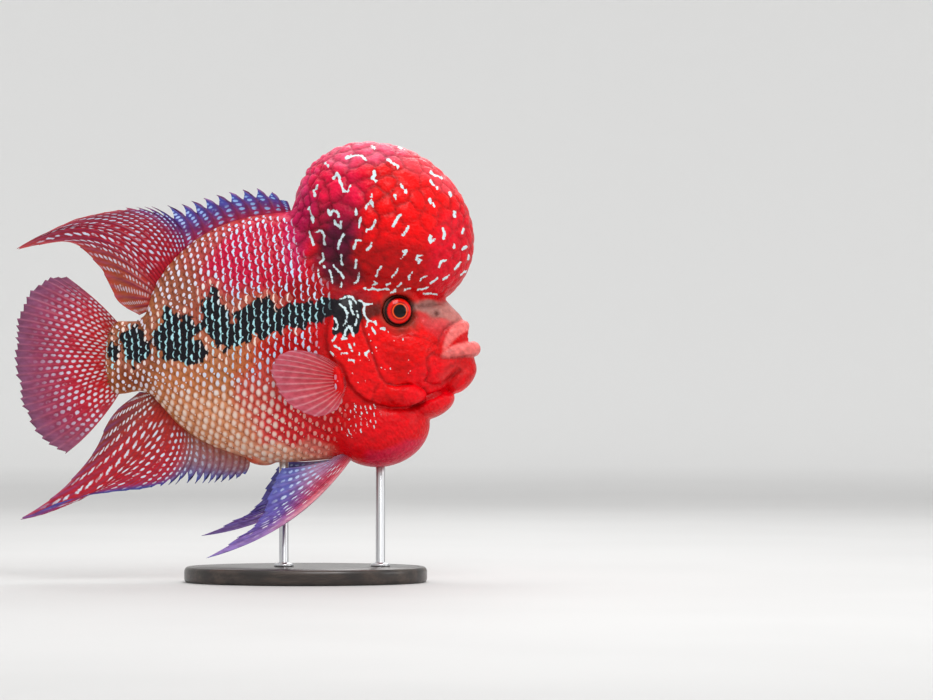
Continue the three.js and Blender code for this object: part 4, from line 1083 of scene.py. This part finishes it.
class FLOWERHORN_OT_scales(bpy.types.Operator):
    """Lay overlapping scale plates over the flanks, each with its pearl mark"""

    bl_idname = "flowerhorn.scales"
    bl_label = "Scales"

    def execute(self, context):
        sizes = context.scene.flowerhorn_sizes
        places = scale_places(sizes.scale_pitch, sizes.scale_pitch * sizes.scale_height)
        u, v = to_plan(places[:, 0], places[:, 2])
        places = places[inside_outline(u, v, SCALED_AREA)]
        plate, material, (tree, sockets) = scale_plate(), scale_material(), scale_tree()
        for name, side in (("scales_left", 1), ("scales_right", -1)):
            root = places[:, :3] * (1, -side, 1)
            _, out = onto_surface(body_distance, root.copy(), 1)
            tail = np.array((-1.0, 0, 0)) - out * (-out[:, :1])
            tail /= np.linalg.norm(tail, axis=1)[:, None]
            frames = np.stack([tail, np.cross(out, tail), out], axis=2)
            turns = np.array([tuple(Matrix(f.tolist()).to_euler()) for f in frames])
            spans = [np.full(len(root), sizes.scale_pitch * 1.05), places[:, 3] * 0.60, np.ones(len(root))]
            mesh = bpy.data.meshes.new("scale_roots")
            mesh.from_pydata(root.tolist(), [], [])
            put_on_points(mesh, "turn", "FLOAT_VECTOR", turns)
            put_on_points(mesh, "size", "FLOAT_VECTOR", np.stack(spans, axis=1))
            put_on_points(mesh, "owner", "INT", np.arange(len(root)))
            roots = bpy.data.objects.new("scale_roots", mesh)
            context.scene.collection.objects.link(roots)
            rows = roots.modifiers.new("rows", "NODES")
            rows.node_group = tree
            values = {"Plate": plate, "Size variation": 0.06, "Seed": 3, "Material": material}
            for key, value in values.items():
                rows[sockets[key]] = value
            ready = bpy.data.meshes.new_from_object(roots.evaluated_get(context.evaluated_depsgraph_get()))
            bpy.data.objects.remove(roots)
            self.lay(name, ready, root, places, material)
        return {"FINISHED"}

    def lay(self, name, ready, root, places, material):
        """Lay the realized plates on the body and give them their marks."""
        n = len(ready.vertices)
        if n == 0:
            raise RuntimeError("no scales were made")
        flat, local, owner = np.zeros(n * 3, np.float32), np.zeros(n * 3, np.float32), np.zeros(n, np.int32)
        ready.vertices.foreach_get("co", flat)
        ready.attributes["local"].data.foreach_get("vector", local)
        ready.attributes["owner"].data.foreach_get("value", owner)
        quads = np.zeros(len(ready.loops), np.int32)
        ready.loops.foreach_get("vertex_index", quads)
        local = local.reshape(-1, 3).astype(float)
        at, normal = onto_surface(body_distance, flat.reshape(-1, 3).astype(float), 2)
        front_edge = SCALED_AREA[4:18]
        u, v = to_plan(root[:, 0], root[:, 2])
        fade = np.clip(line_distance(u, v, front_edge) / 14, 0.15, 1)[owner]
        at = at + normal * (local[:, 2] * fade + skin_relief(at))[:, None]
        floats, colours = scale_looks(root, owner, at, fade)
        sheet = np.stack([(root[:, 0] + 100) / 260, places[:, 4] / 260], axis=1)[owner]
        uvs = {"OFBake": sheet + (local[:, :2] - (0.5, 0)) * 0.0015, "ScaleUV": local[:, :2]}
        piece = add_mesh(name, at, quads.reshape(-1, 4), material, floats, colours, uvs)
        finish_piece(piece, "flank_skin")


# Fins
def fin_points(fin, s, t, lift=0.0):
    """Points of a fin's middle surface: s from its first ray to its last, t from root to tip."""
    columns = [smooth_curve([(k[0], k[i]) for k in fin["keys"]])(s) for i in range(1, 6)]
    root_x, root_z, tip_x, tip_z, bow = columns
    dx, dz = tip_x - root_x, tip_z - root_z
    length = np.hypot(dx, dz)
    arch = bow * 4 * t * (1 - t)
    along = dx * t + dz * arch
    up = dz * t - dx * arch
    turn = math.radians(lift)
    x = root_x + along * math.cos(turn) - up * math.sin(turn)
    z = root_z + up * math.cos(turn) + along * math.sin(turn)
    y = fin["side"] + fin["splay"] * length * t
    return np.stack([x, y, z], axis=-1), length


def fin_grid(fin, side, lift, wave, seed):
    """Both faces of a fin with its rays as ridges, and its own coordinates."""
    rng = np.random.default_rng(seed)
    gaps = fin["rays"] - 1
    phase = np.linspace(0, gaps, gaps * fin["columns"] + 1)
    ray_places = fin.get("places", [(0, 0), (1, gaps)])
    s_line = np.interp(phase, [p[1] for p in ray_places], [p[0] for p in ray_places])
    ray_reach = 1 - rng.uniform(0, 0.035, fin["rays"])
    behind = phase % 1
    web = np.where(behind < 0.9, (behind / 0.9) ** 0.8, 0)
    soft = smooth_step(fin["spines"], fin["spines"] + 0.12, s_line)
    notch = fin["notch"] * (1 - soft) + 0.02 * soft
    reach = np.interp(phase, np.arange(fin["rays"]), ray_reach) - notch * web
    t_line = np.linspace(0, 1, fin["rows"] + 1) ** 0.95
    s = np.repeat(s_line[:, None], len(t_line), axis=1)
    _, length = fin_points(fin, s, np.zeros_like(s))
    start = -fin["sink"] / length
    t = start + (reach[:, None] - start) * t_line[None]
    points, _ = fin_points(fin, s, t, lift)
    grow = np.clip(t, 0, 1)
    slow = grow**1.3 * np.sin(2 * math.pi * (s * 2.6 + 0.2) + 1.5 * grow)
    quick = 0.35 * grow * np.sin(2 * math.pi * (s * 9.0 + grow * 1.3))
    points[..., 1] += wave * (slow + quick)
    points[..., 1] *= side
    normal = np.cross(np.gradient(points, axis=0), np.gradient(points, axis=1))
    normal /= np.maximum(np.linalg.norm(normal, axis=-1), 1e-9)[..., None]
    ridge = np.cos(math.pi * phase[:, None]) ** 2
    ridge = ridge ** (3 + 5 * grow)
    split = np.cos(2 * math.pi * phase[:, None]) ** 2
    fork = smooth_step(0.45, 0.75, grow) * soft[:, None]
    ridge = np.maximum(ridge * (1 - 0.4 * fork), split**6 * fork * 0.7)
    thick = fin["thick"][0] + (fin["thick"][1] - fin["thick"][0]) * grow**0.6
    half = thick * (fin["web"] * 0.6 + (1 - fin["web"] * 0.6) * ridge) / 2
    half = np.maximum(half * (1 - 0.55 * smooth_step(0.85, 1, t_line)[None]), 0.16)
    faces_points = [points + normal * half[..., None], points - normal * half[..., None]]
    return s, t, phase, ridge, soft, faces_points


def fin_faces(columns, rows):
    """Quads of both faces of a grid and of the rim that joins them."""
    i, j = np.meshgrid(np.arange(columns - 1), np.arange(rows - 1), indexing="ij")
    a = (i * rows + j).ravel()
    front = np.stack([a, a + rows, a + rows + 1, a + 1], axis=1)
    back = front[:, ::-1] + columns * rows
    rim = [c * rows for c in range(columns)] + [(columns - 1) * rows + r for r in range(1, rows)]
    rim += [c * rows + rows - 1 for c in range(columns - 2, -1, -1)] + [r for r in range(rows - 2, 0, -1)]
    rim = np.array(rim)
    nxt = np.roll(rim, -1)
    edge = np.stack([rim, rim + columns * rows, nxt + columns * rows, nxt], axis=1)
    return np.concatenate([front, back, edge])


def fin_material(name, opacity):
    w = Wires(name, 0.4, coat=0.1, specular=0.2)
    phase, rise = w.along_and_across("FinUV")
    shift = w.math("FRACT", w.math("FLOOR", phase) * 0.618)
    bend = (w.noise(500, 2) - 0.5) * 0.35
    a = (w.math("FRACT", phase) + bend - 0.5) / w.attribute("SpotWidth")
    b = (w.math("FRACT", rise + shift) + bend - 0.5) / 0.36
    thin_out = w.ramp(w.noise(130, 2), 0.36, 0.5)
    dash = w.ramp(w.reach(a, b), 1.1, 0.6) * w.attribute("Spots") * thin_out
    streaks = w.ramp(w.noise(500, 3, (0.35, 1, 1)), 0.35, 0.7)
    colour = w.mix(streaks * 0.35, w.attribute("Tint", "Color"), (0.35, 0.08, 0.12), "MULTIPLY")
    w.plug("Base Color", w.mix(dash, colour, w.attribute("SpotTint", "Color")))
    w.plug("Roughness", w.noise(300, 3) * 0.25 + 0.22)
    w.plug("Normal", w.bump(w.noise(600, 4), 0.3, 0.0004))
    w.plug("Alpha", opacity)
    return w.material


def fin_looks(kind, s, t, ridge, soft):
    """Tint of a fin, tint and strength of its dashes, and how many rows of them it has."""
    grow = np.clip(t, 0, 1)
    spiny = (1 - soft)[:, None] * np.ones_like(t)
    outward = smooth_step(0.3, 0.75, s)
    if kind == "dorsal_fin":
        front = blend_colours(
            grow, (0, "b01848"), (0.25, "70286c"), (0.55, "4c46a0"), (0.85, "3c4cac"), (1, "30389c"))
        middle = blend_colours(grow, (0, "c40c28"), (0.5, "a81028"), (0.85, "94283c"), (1, "d04c40"))
        last = blend_colours(grow, (0, "b83828"), (0.7, "a04828"), (1, "b83c2c"))
        web = over(over(middle, last, smooth_step(0.86, 0.95, s)), front, spiny)
        bones = blend_colours(grow, (0, "901030"), (0.6, "6a2050"), (1, "b06080"))
        spots = blend_colours(s, (0, "88b8e8"), (0.5, "a0c0f8"), (0.7, "c8dcfc"), (1, "e0e4ec"))
        strength = 0.9 * smooth_step(0.04, 0.1, grow) * smooth_step(1.0, 0.8, grow)
        strength = strength * (1 - 0.5 * smooth_step(0.86, 0.97, s))
        return over(web, bones, 0.7 * ridge), spots, strength, 7 + 9 * outward
    if kind == "anal_fin":
        front = blend_colours(grow, (0, "b87058"), (0.5, "947080"), (0.85, "4058a8"), (1, "2c4498"))
        middle = blend_colours(grow, (0, "b83020"), (0.5, "c41428"), (0.9, "b02038"), (1, "d06078"))
        last = blend_colours(grow, (0, "9a4a30"), (0.7, "8a2c28"), (1, "8c3a38"))
        web = over(over(middle, last, smooth_step(0.84, 0.93, s)), front, spiny)
        web = over(web, "34489c", smooth_step(0.78, 0.96, grow) * smooth_step(0.84, 0.74, s))
        bones = blend_colours(grow, (0, "9c3030"), (0.65, "803a58"), (1, "4c60b4"))
        spots = blend_colours(s, (0, "c8c0cc"), (0.4, "c0d0ec"), (0.7, "dce8f8"), (1, "e0e0e4"))
        strength = 0.25 + 0.7 * smooth_step(0.3, 0.6, s)
        strength = strength * smooth_step(0.03, 0.1, grow) * smooth_step(0.98, 0.75, grow)
        return over(web, bones, 0.65 * ridge), spots, strength, 5 + 9 * outward
    if kind == "caudal_fin":
        web = blend_colours(
            grow, (0, "c43818"), (0.15, "cc0c14"), (0.4, "c41030"), (0.65, "a43054"), (0.9, "8c4c70"),
            (1, "704464"))
        web = over(web, "9c5468", 0.4 * (smooth_step(0.12, 0.0, s) + smooth_step(0.88, 1.0, s)))
        bones = blend_colours(grow, (0, "c02c2c"), (0.5, "c82c44"), (1, "a86a88"))
        spots = blend_colours(grow, (0, "f0eef0"), (0.5, "d8d8ec"), (1, "a898c0"))
        strength = 0.95 * smooth_step(0.02, 0.08, grow) * smooth_step(0.9, 0.45, grow)
        return over(web, bones, 0.75 * ridge), spots, strength, 13
    if kind == "pectoral_fin":
        web = blend_colours(grow, (0, "e02030"), (0.25, "d84450"), (0.6, "d05060"), (1, "cc5c70"))
        bones = blend_colours(grow, (0, "f08888"), (0.5, "f0a4a8"), (1, "e0a0b0"))
        spots = blend_colours(s, (0, "c01830"), (1, "c01830"))
        strength = 0.5 * smooth_step(0.02, 0.1, grow) * smooth_step(0.45, 0.2, grow)
        return over(web, bones, 0.7 * ridge), spots, strength, 5
    web = blend_colours(s, (0, "f0a8b0"), (0.18, "dc4058"), (0.45, "c84468"), (0.75, "b890b8"), (1, "c0a8c8"))
    tips = blend_colours(s, (0, "7c6cc0"), (0.25, "4a58b4"), (1, "3850ac"))
    web = over(web, tips, 0.85 * smooth_step(0.3, 0.75, grow))
    bones = blend_colours(grow, (0, "e88088"), (0.45, "a868a0"), (1, "6070c8"))
    spots = blend_colours(s, (0, "fce8ea"), (0.4, "e8f0fc"), (1, "a8c0ec"))
    strength = 0.95 * smooth_step(0.03, 0.1, grow) * smooth_step(0.97, 0.7, grow) * smooth_step(0.03, 0.12, s)
    return over(web, bones, 0.6 * ridge), spots, strength, 9


def both_faces(grid):
    """A grid's values as a list, once for each face of a fin."""
    flat = grid.reshape(grid.shape[0] * grid.shape[1], -1)
    return np.concatenate([flat, flat])


def build_fin(kind, name, side, lift, wave, seed, opacity, slot_name):
    fin = FINS[kind]
    s, t, phase, ridge, soft, two_faces = fin_grid(fin, side, lift, wave, seed)
    tint, spots, strength, rows_of_dashes = fin_looks(kind, s, t, ridge, soft)
    faces = fin_faces(*s.shape)
    if side > 0:
        faces = faces[:, ::-1]
    across = np.repeat(phase[:, None], s.shape[1], axis=1) + 1e-4
    uv = np.stack([across, np.clip(t, -0.2, 1) * rows_of_dashes], axis=-1)
    spot_width = fin["spot"] * (1.3 - 0.5 * np.clip(t, 0, 1))
    points = np.concatenate([face.reshape(-1, 3) for face in two_faces])
    piece = add_mesh(name + "_membrane", points, faces, fin_material(name + "_skin", opacity),
                     floats={"Spots": both_faces(strength), "SpotWidth": both_faces(spot_width)},
                     colours={"Tint": both_faces(tint), "SpotTint": both_faces(spots)},
                     uvs={"FinUV": both_faces(uv)})
    return finish_piece(piece, slot_name, name)


class FLOWERHORN_OT_middle_fins(bpy.types.Operator):
    """Build the dorsal, anal and tail fins"""

    bl_idname = "flowerhorn.middle_fins"
    bl_label = "Middle fins"

    def execute(self, context):
        wave = context.scene.flowerhorn_sizes.fin_wave
        build_fin("dorsal_fin", "dorsal_fin", -1, 0, wave, 101, 0.97, "fin_membrane")
        build_fin("anal_fin", "anal_fin", -1, 0, wave, 102, 0.97, "fin_membrane")
        build_fin("caudal_fin", "caudal_fin", -1, 0, wave, 103, 0.94, "tail_membrane")
        return {"FINISHED"}


class FLOWERHORN_OT_paired_fins(bpy.types.Operator):
    """Build the pectoral and pelvic fins of both sides"""

    bl_idname = "flowerhorn.paired_fins"
    bl_label = "Paired fins"

    def execute(self, context):
        wave = context.scene.flowerhorn_sizes.fin_wave
        for word, side in (("left", 1), ("right", -1)):
            name = "pectoral_fin_" + word
            build_fin("pectoral_fin", name, side, 0, wave * 0.5, 104, 0.72, "pectoral_membrane")
            lift = -FINS["pelvic_fin"]["far_lift"] if side > 0 else 0
            build_fin("pelvic_fin", "pelvic_fin_" + word, side, lift, wave * 0.6, 105, 0.97, "fin_membrane")
        return {"FINISHED"}


class FLOWERHORN_OT_eyes(bpy.types.Operator):
    """Build both eyes with their ringed irises"""

    bl_idname = "flowerhorn.eyes"
    bl_label = "Eyes"

    def execute(self, context):
        skin, ahead, behind = skin_at(EYE["x"] + np.array([0.0, 9, -9]), np.full(3, EYE["z"])).tolist()
        turn = math.atan2(ahead - behind, 18)
        rings, around = 56, 128
        r = np.linspace(0, 1, rings + 1)[1:]
        angle = np.linspace(0, 2 * math.pi, around, endpoint=False)
        rr, aa = np.meshgrid(r, angle, indexing="ij")
        rng = np.random.default_rng(9)
        streak = sum(np.sin(aa * k + rng.uniform(0, 6)) * rng.uniform(0.4, 1) for k in (17, 29, 41, 53)) / 3
        radius = rr * EYE["radius"]
        iris = blend_colours(
            radius + 0.18 * streak * (radius > 4.9), (4.1, "020101"), (4.3, "c03008"), (4.75, "ff6418"),
            (5.0, "d01404"), (5.4, "980402"), (6.6, "f01004"), (7.7, "e00c04"), (8.15, "5c0c0a"),
            (8.4, "120808"), (9.1, "1c0e0c"), (9.5, "6c4038"), (10.2, "3c1c18"))
        for name, side in (("eye_left", 1), ("eye_right", -1)):
            dome = EYE["depth"] * np.sqrt(np.clip(1 - rr**2, 0, 1)) - EYE["sunk"]
            a, b = radius * np.cos(aa), radius * np.sin(aa)
            x = EYE["x"] + a * math.cos(turn) - dome * math.sin(turn)
            y = side * (skin + dome * math.cos(turn) + a * math.sin(turn))
            rings = np.stack([x, y, EYE["z"] + b], axis=-1)
            ends = [(EYE["x"] - d * math.sin(turn), side * (skin + d * math.cos(turn)), EYE["z"])
                    for d in (EYE["depth"] - EYE["sunk"], -EYE["sunk"] - 1.5)]
            points, quads = closed_rings(rings, *ends)
            tint = np.concatenate([iris.reshape(-1, 3), [linear("040202")] * 2])
            if side < 0:
                quads = quads[:, ::-1]
            w = Wires(name + "_lens", 0.15, coat=0.4, specular=0.08)
            w.plug("Coat Roughness", 0.02)
            w.plug("Base Color", w.attribute("Tint", "Color"))
            w.plug("Normal", w.bump(w.noise(1500, 3), 0.08, 0.0002))
            piece = add_mesh(name + "_ball", points, quads, w.material, colours={"Tint": tint})
            finish_piece(piece, "eye", name)
        return {"FINISHED"}


class FLOWERHORN_OT_stand(bpy.types.Operator):
    """Build the oval base and the two rods with their collars"""

    bl_idname = "flowerhorn.stand"
    bl_label = "Stand"

    def execute(self, context):
        low, high = (Vector(corner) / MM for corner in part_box("stand_base"))
        half, mid, height = (high - low) / 2, (high + low) / 2, high.z
        profile = [(0.965, 0.0), (0.985, 0.4), (0.995, 1.2), (1.0, 2.4)]
        profile += [(share, height - drop) for share, drop in (
            (1.0, 3.4), (0.997, 2.2), (0.988, 1.2), (0.975, 0.45), (0.958, 0.08), (0.93, 0), (0.915, 0),
            (0.905, 0.5), (0.89, 0.5), (0.88, 0))]
        insets = [(half.x * 0.5, half.y * 0.5, 0.0)]
        insets += [(half.x - (1 - share) * half.y, share * half.y, z) for share, z in profile]
        insets += [(half.x * 0.5, half.y * 0.5, height)]
        rings = oval_rings(insets, 160, mid.x, mid.y)
        points, quads = closed_rings(rings, (mid.x, mid.y, 0), (mid.x, mid.y, height))
        w = Wires("stained_wood", 0.34, coat=0.25)
        fine = w.noise(240, 4, (0.1, 2.5, 2.5))
        grain = w.ramp(w.noise(60, 6, (0.25, 3.0, 3.0)), 0.35, 0.65)
        colour = w.mix(grain, (0.016, 0.011, 0.009), (0.052, 0.034, 0.026))
        w.plug("Base Color", w.mix(w.ramp(fine, 0.45, 0.6) * 0.4, colour, (0.012, 0.008, 0.006)))
        w.plug("Roughness", fine * 0.22 + 0.24)
        w.plug("Normal", w.bump(fine, 0.15, 0.0003))
        finish_piece(add_mesh("stand_base_plate", points, quads, w.material), "stand_base", "stand_base")
        steel = Wires("brushed_rod", 0.28, metallic=1.0)
        brush = steel.noise(900, 3, (1, 1, 0.03))
        steel.plug("Base Color", steel.mix(brush, (0.52, 0.53, 0.55), (0.72, 0.73, 0.74)))
        steel.plug("Roughness", brush * 0.2 + 0.2)
        steel.plug("Normal", steel.bump(brush, 0.12, 0.0002))
        for name in ("stand_rod_rear", "stand_rod_front"):
            low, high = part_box(name)
            x, radius = (low[0] + high[0]) / 2 / MM, (high[0] - low[0]) / 2 / MM
            top, bottom = high[2] / MM + 3.0, height - 0.2
            collar = ((2.1, 0), (2.1, 1.6), (1.9, 2.2), (1.15, 2.6), (1, 3.2))
            outline = [(share, bottom + rise) for share, rise in collar] + [(1, top - 0.6), (0.85, top)]
            rings = oval_rings([(radius * share, radius * share, z) for share, z in outline], 48, x, 0)
            points, quads = closed_rings(rings, (x, 0, bottom), (x, 0, top))
            finish_piece(add_mesh(name + "_polished", points, quads, steel.material), "stand_rod", name)
        return {"FINISHED"}


class FLOWERHORN_OT_stage(bpy.types.Operator):
    """Set the pale floor, the soft lights and the camera"""

    bl_idname = "flowerhorn.stage"
    bl_label = "Studio"

    def execute(self, context):
        scene = context.scene
        stage = scene.flowerhorn_stage
        flat, bend, sunk = 2900, 1100, -0.05
        turn = np.linspace(0, math.pi / 2, 20)[1:]
        line = [(r, 0.0) for r in (400, 1000, 2000, flat)]
        line += [(flat + bend * math.sin(a), bend * (1 - math.cos(a))) for a in turn]
        line += [(flat + bend, 1700), (flat + bend, 2300)]
        rings = oval_rings([(r, r, z + sunk) for r, z in line], 96, 0, 0)
        points, quads = closed_rings(rings, (0, 0, sunk))
        w = Wires("pale_floor", 0.75, specular=0.2)
        away = w.node("ShaderNodeVectorMath", "Value", {0: w.place()}, operation="LENGTH")
        floor_colour = tuple(stage.floor_colour)
        darker = tuple(0.97 * c for c in floor_colour)
        near_floor = w.mix(w.ramp(w.noise(4, 2), 0.3, 0.7), floor_colour, darker)
        w.plug("Base Color", w.mix(w.ramp(away, 1.2, 3.4), near_floor, (0.9, 0.9, 0.895)))
        add_mesh("floor", points, quads[:, ::-1], w.material)
        world = bpy.data.worlds.new("studio_air")
        world.use_nodes = True
        colour, strength = world.node_tree.nodes["Background"].inputs[:2]
        colour.default_value, strength.default_value = (1, 1, 1, 1), stage.air
        scene.world = world
        target = Vector((0.06, 0, 0.16))
        for name, place, size, power in (
            ("key_softbox", (0.30, -0.85, 1.10), 0.55, stage.key_power),
            ("top_softbox", (0.05, 0.25, 1.25), 0.7, stage.key_power * 0.8),
            ("front_softbox", (1.2, -0.35, 0.45), 0.6, stage.key_power * 0.3),
            ("rear_softbox", (0.2, 1.0, 0.9), 0.6, stage.key_power * 0.5),
        ):
            light = bpy.data.lights.new(name, "AREA")
            light.shape, light.size, light.energy = "SQUARE", size, power
            lamp = bpy.data.objects.new(name, light)
            lamp.location = place
            lamp.rotation_euler = (target - Vector(place)).to_track_quat("-Z", "Y").to_euler()
            scene.collection.objects.link(lamp)
        lens = bpy.data.cameras.new("camera")
        lens.sensor_width = 36.0
        lens.lens = stage.focal_length
        lens.clip_end = 50
        camera = bpy.data.objects.new("camera", lens)
        camera.location = (0.1413, -2.85, 0.149)
        camera.rotation_euler = (math.pi / 2, 0, 0)
        scene.collection.objects.link(camera)
        scene.camera = camera
        scene.view_settings.view_transform = "Standard"
        return {"FINISHED"}


# Sizes and colours that a user may change
def number(name, description, default, low, high, **more):
    return bpy.props.FloatProperty(
        name=name, description=description, default=default, min=low, max=high, **more)


class FlowerhornSizes(bpy.types.PropertyGroup):
    skin_cell: number("Skin detail", "Size of the skin mesh's cells, in millimetres", 1.15, 0.8, 4)
    scale_pitch: number("Scale pitch", "Distance between columns of scales, in millimetres", 4.4, 3, 9)
    scale_height: number("Scale height", "Height of a scale's place, as a share of the pitch", 1.38, 1, 2)
    fin_wave: number("Fin wave", "How far the fins wave to the sides, in millimetres", 0.9, 0, 3)


class FlowerhornStage(bpy.types.PropertyGroup):
    floor_colour: bpy.props.FloatVectorProperty(
        name="Floor", description="Colour of the floor", subtype="COLOR",
        default=(0.62, 0.617, 0.612), min=0, max=1)
    air: number("Surround", "Strength of the even light", 0.85, 0, 3)
    key_power: number("Main light", "Power of the main light", 6.5, 0, 200, unit="POWER")
    focal_length: number("Focal length", "Focal length in millimetres", 171.2, 20, 400)


PIECES = [FLOWERHORN_OT_skin, FLOWERHORN_OT_scales, FLOWERHORN_OT_middle_fins, FLOWERHORN_OT_paired_fins,
          FLOWERHORN_OT_eyes, FLOWERHORN_OT_stand, FLOWERHORN_OT_stage]


class FLOWERHORN_PT_panel(bpy.types.Panel):
    """Sizes and pieces of the flowerhorn cichlid model"""

    bl_idname = "FLOWERHORN_PT_panel"
    bl_label = "Flowerhorn"
    bl_space_type = "VIEW_3D"
    bl_region_type = "UI"
    bl_category = "Flowerhorn"

    def draw(self, context):
        for group in (context.scene.flowerhorn_sizes, context.scene.flowerhorn_stage):
            box = self.layout.box()
            for key in group.__annotations__:
                box.prop(group, key)
        for piece in PIECES:
            self.layout.operator(piece.bl_idname)


CLASSES = [FlowerhornSizes, FlowerhornStage, *PIECES, FLOWERHORN_PT_panel]


def register():
    for c in CLASSES:
        bpy.utils.register_class(c)
    bpy.types.Scene.flowerhorn_sizes = bpy.props.PointerProperty(type=FlowerhornSizes)
    bpy.types.Scene.flowerhorn_stage = bpy.props.PointerProperty(type=FlowerhornStage)


def unregister():
    del bpy.types.Scene.flowerhorn_stage
    del bpy.types.Scene.flowerhorn_sizes
    for c in reversed(CLASSES):
        bpy.utils.unregister_class(c)


def main():
    register()
    bpy.ops.flowerhorn.stage()
    bpy.ops.flowerhorn.skin()
    bpy.ops.flowerhorn.scales()
    bpy.ops.flowerhorn.middle_fins()
    bpy.ops.flowerhorn.paired_fins()
    bpy.ops.flowerhorn.eyes()
    bpy.ops.flowerhorn.stand()


if __name__ == "__main__":
    main()
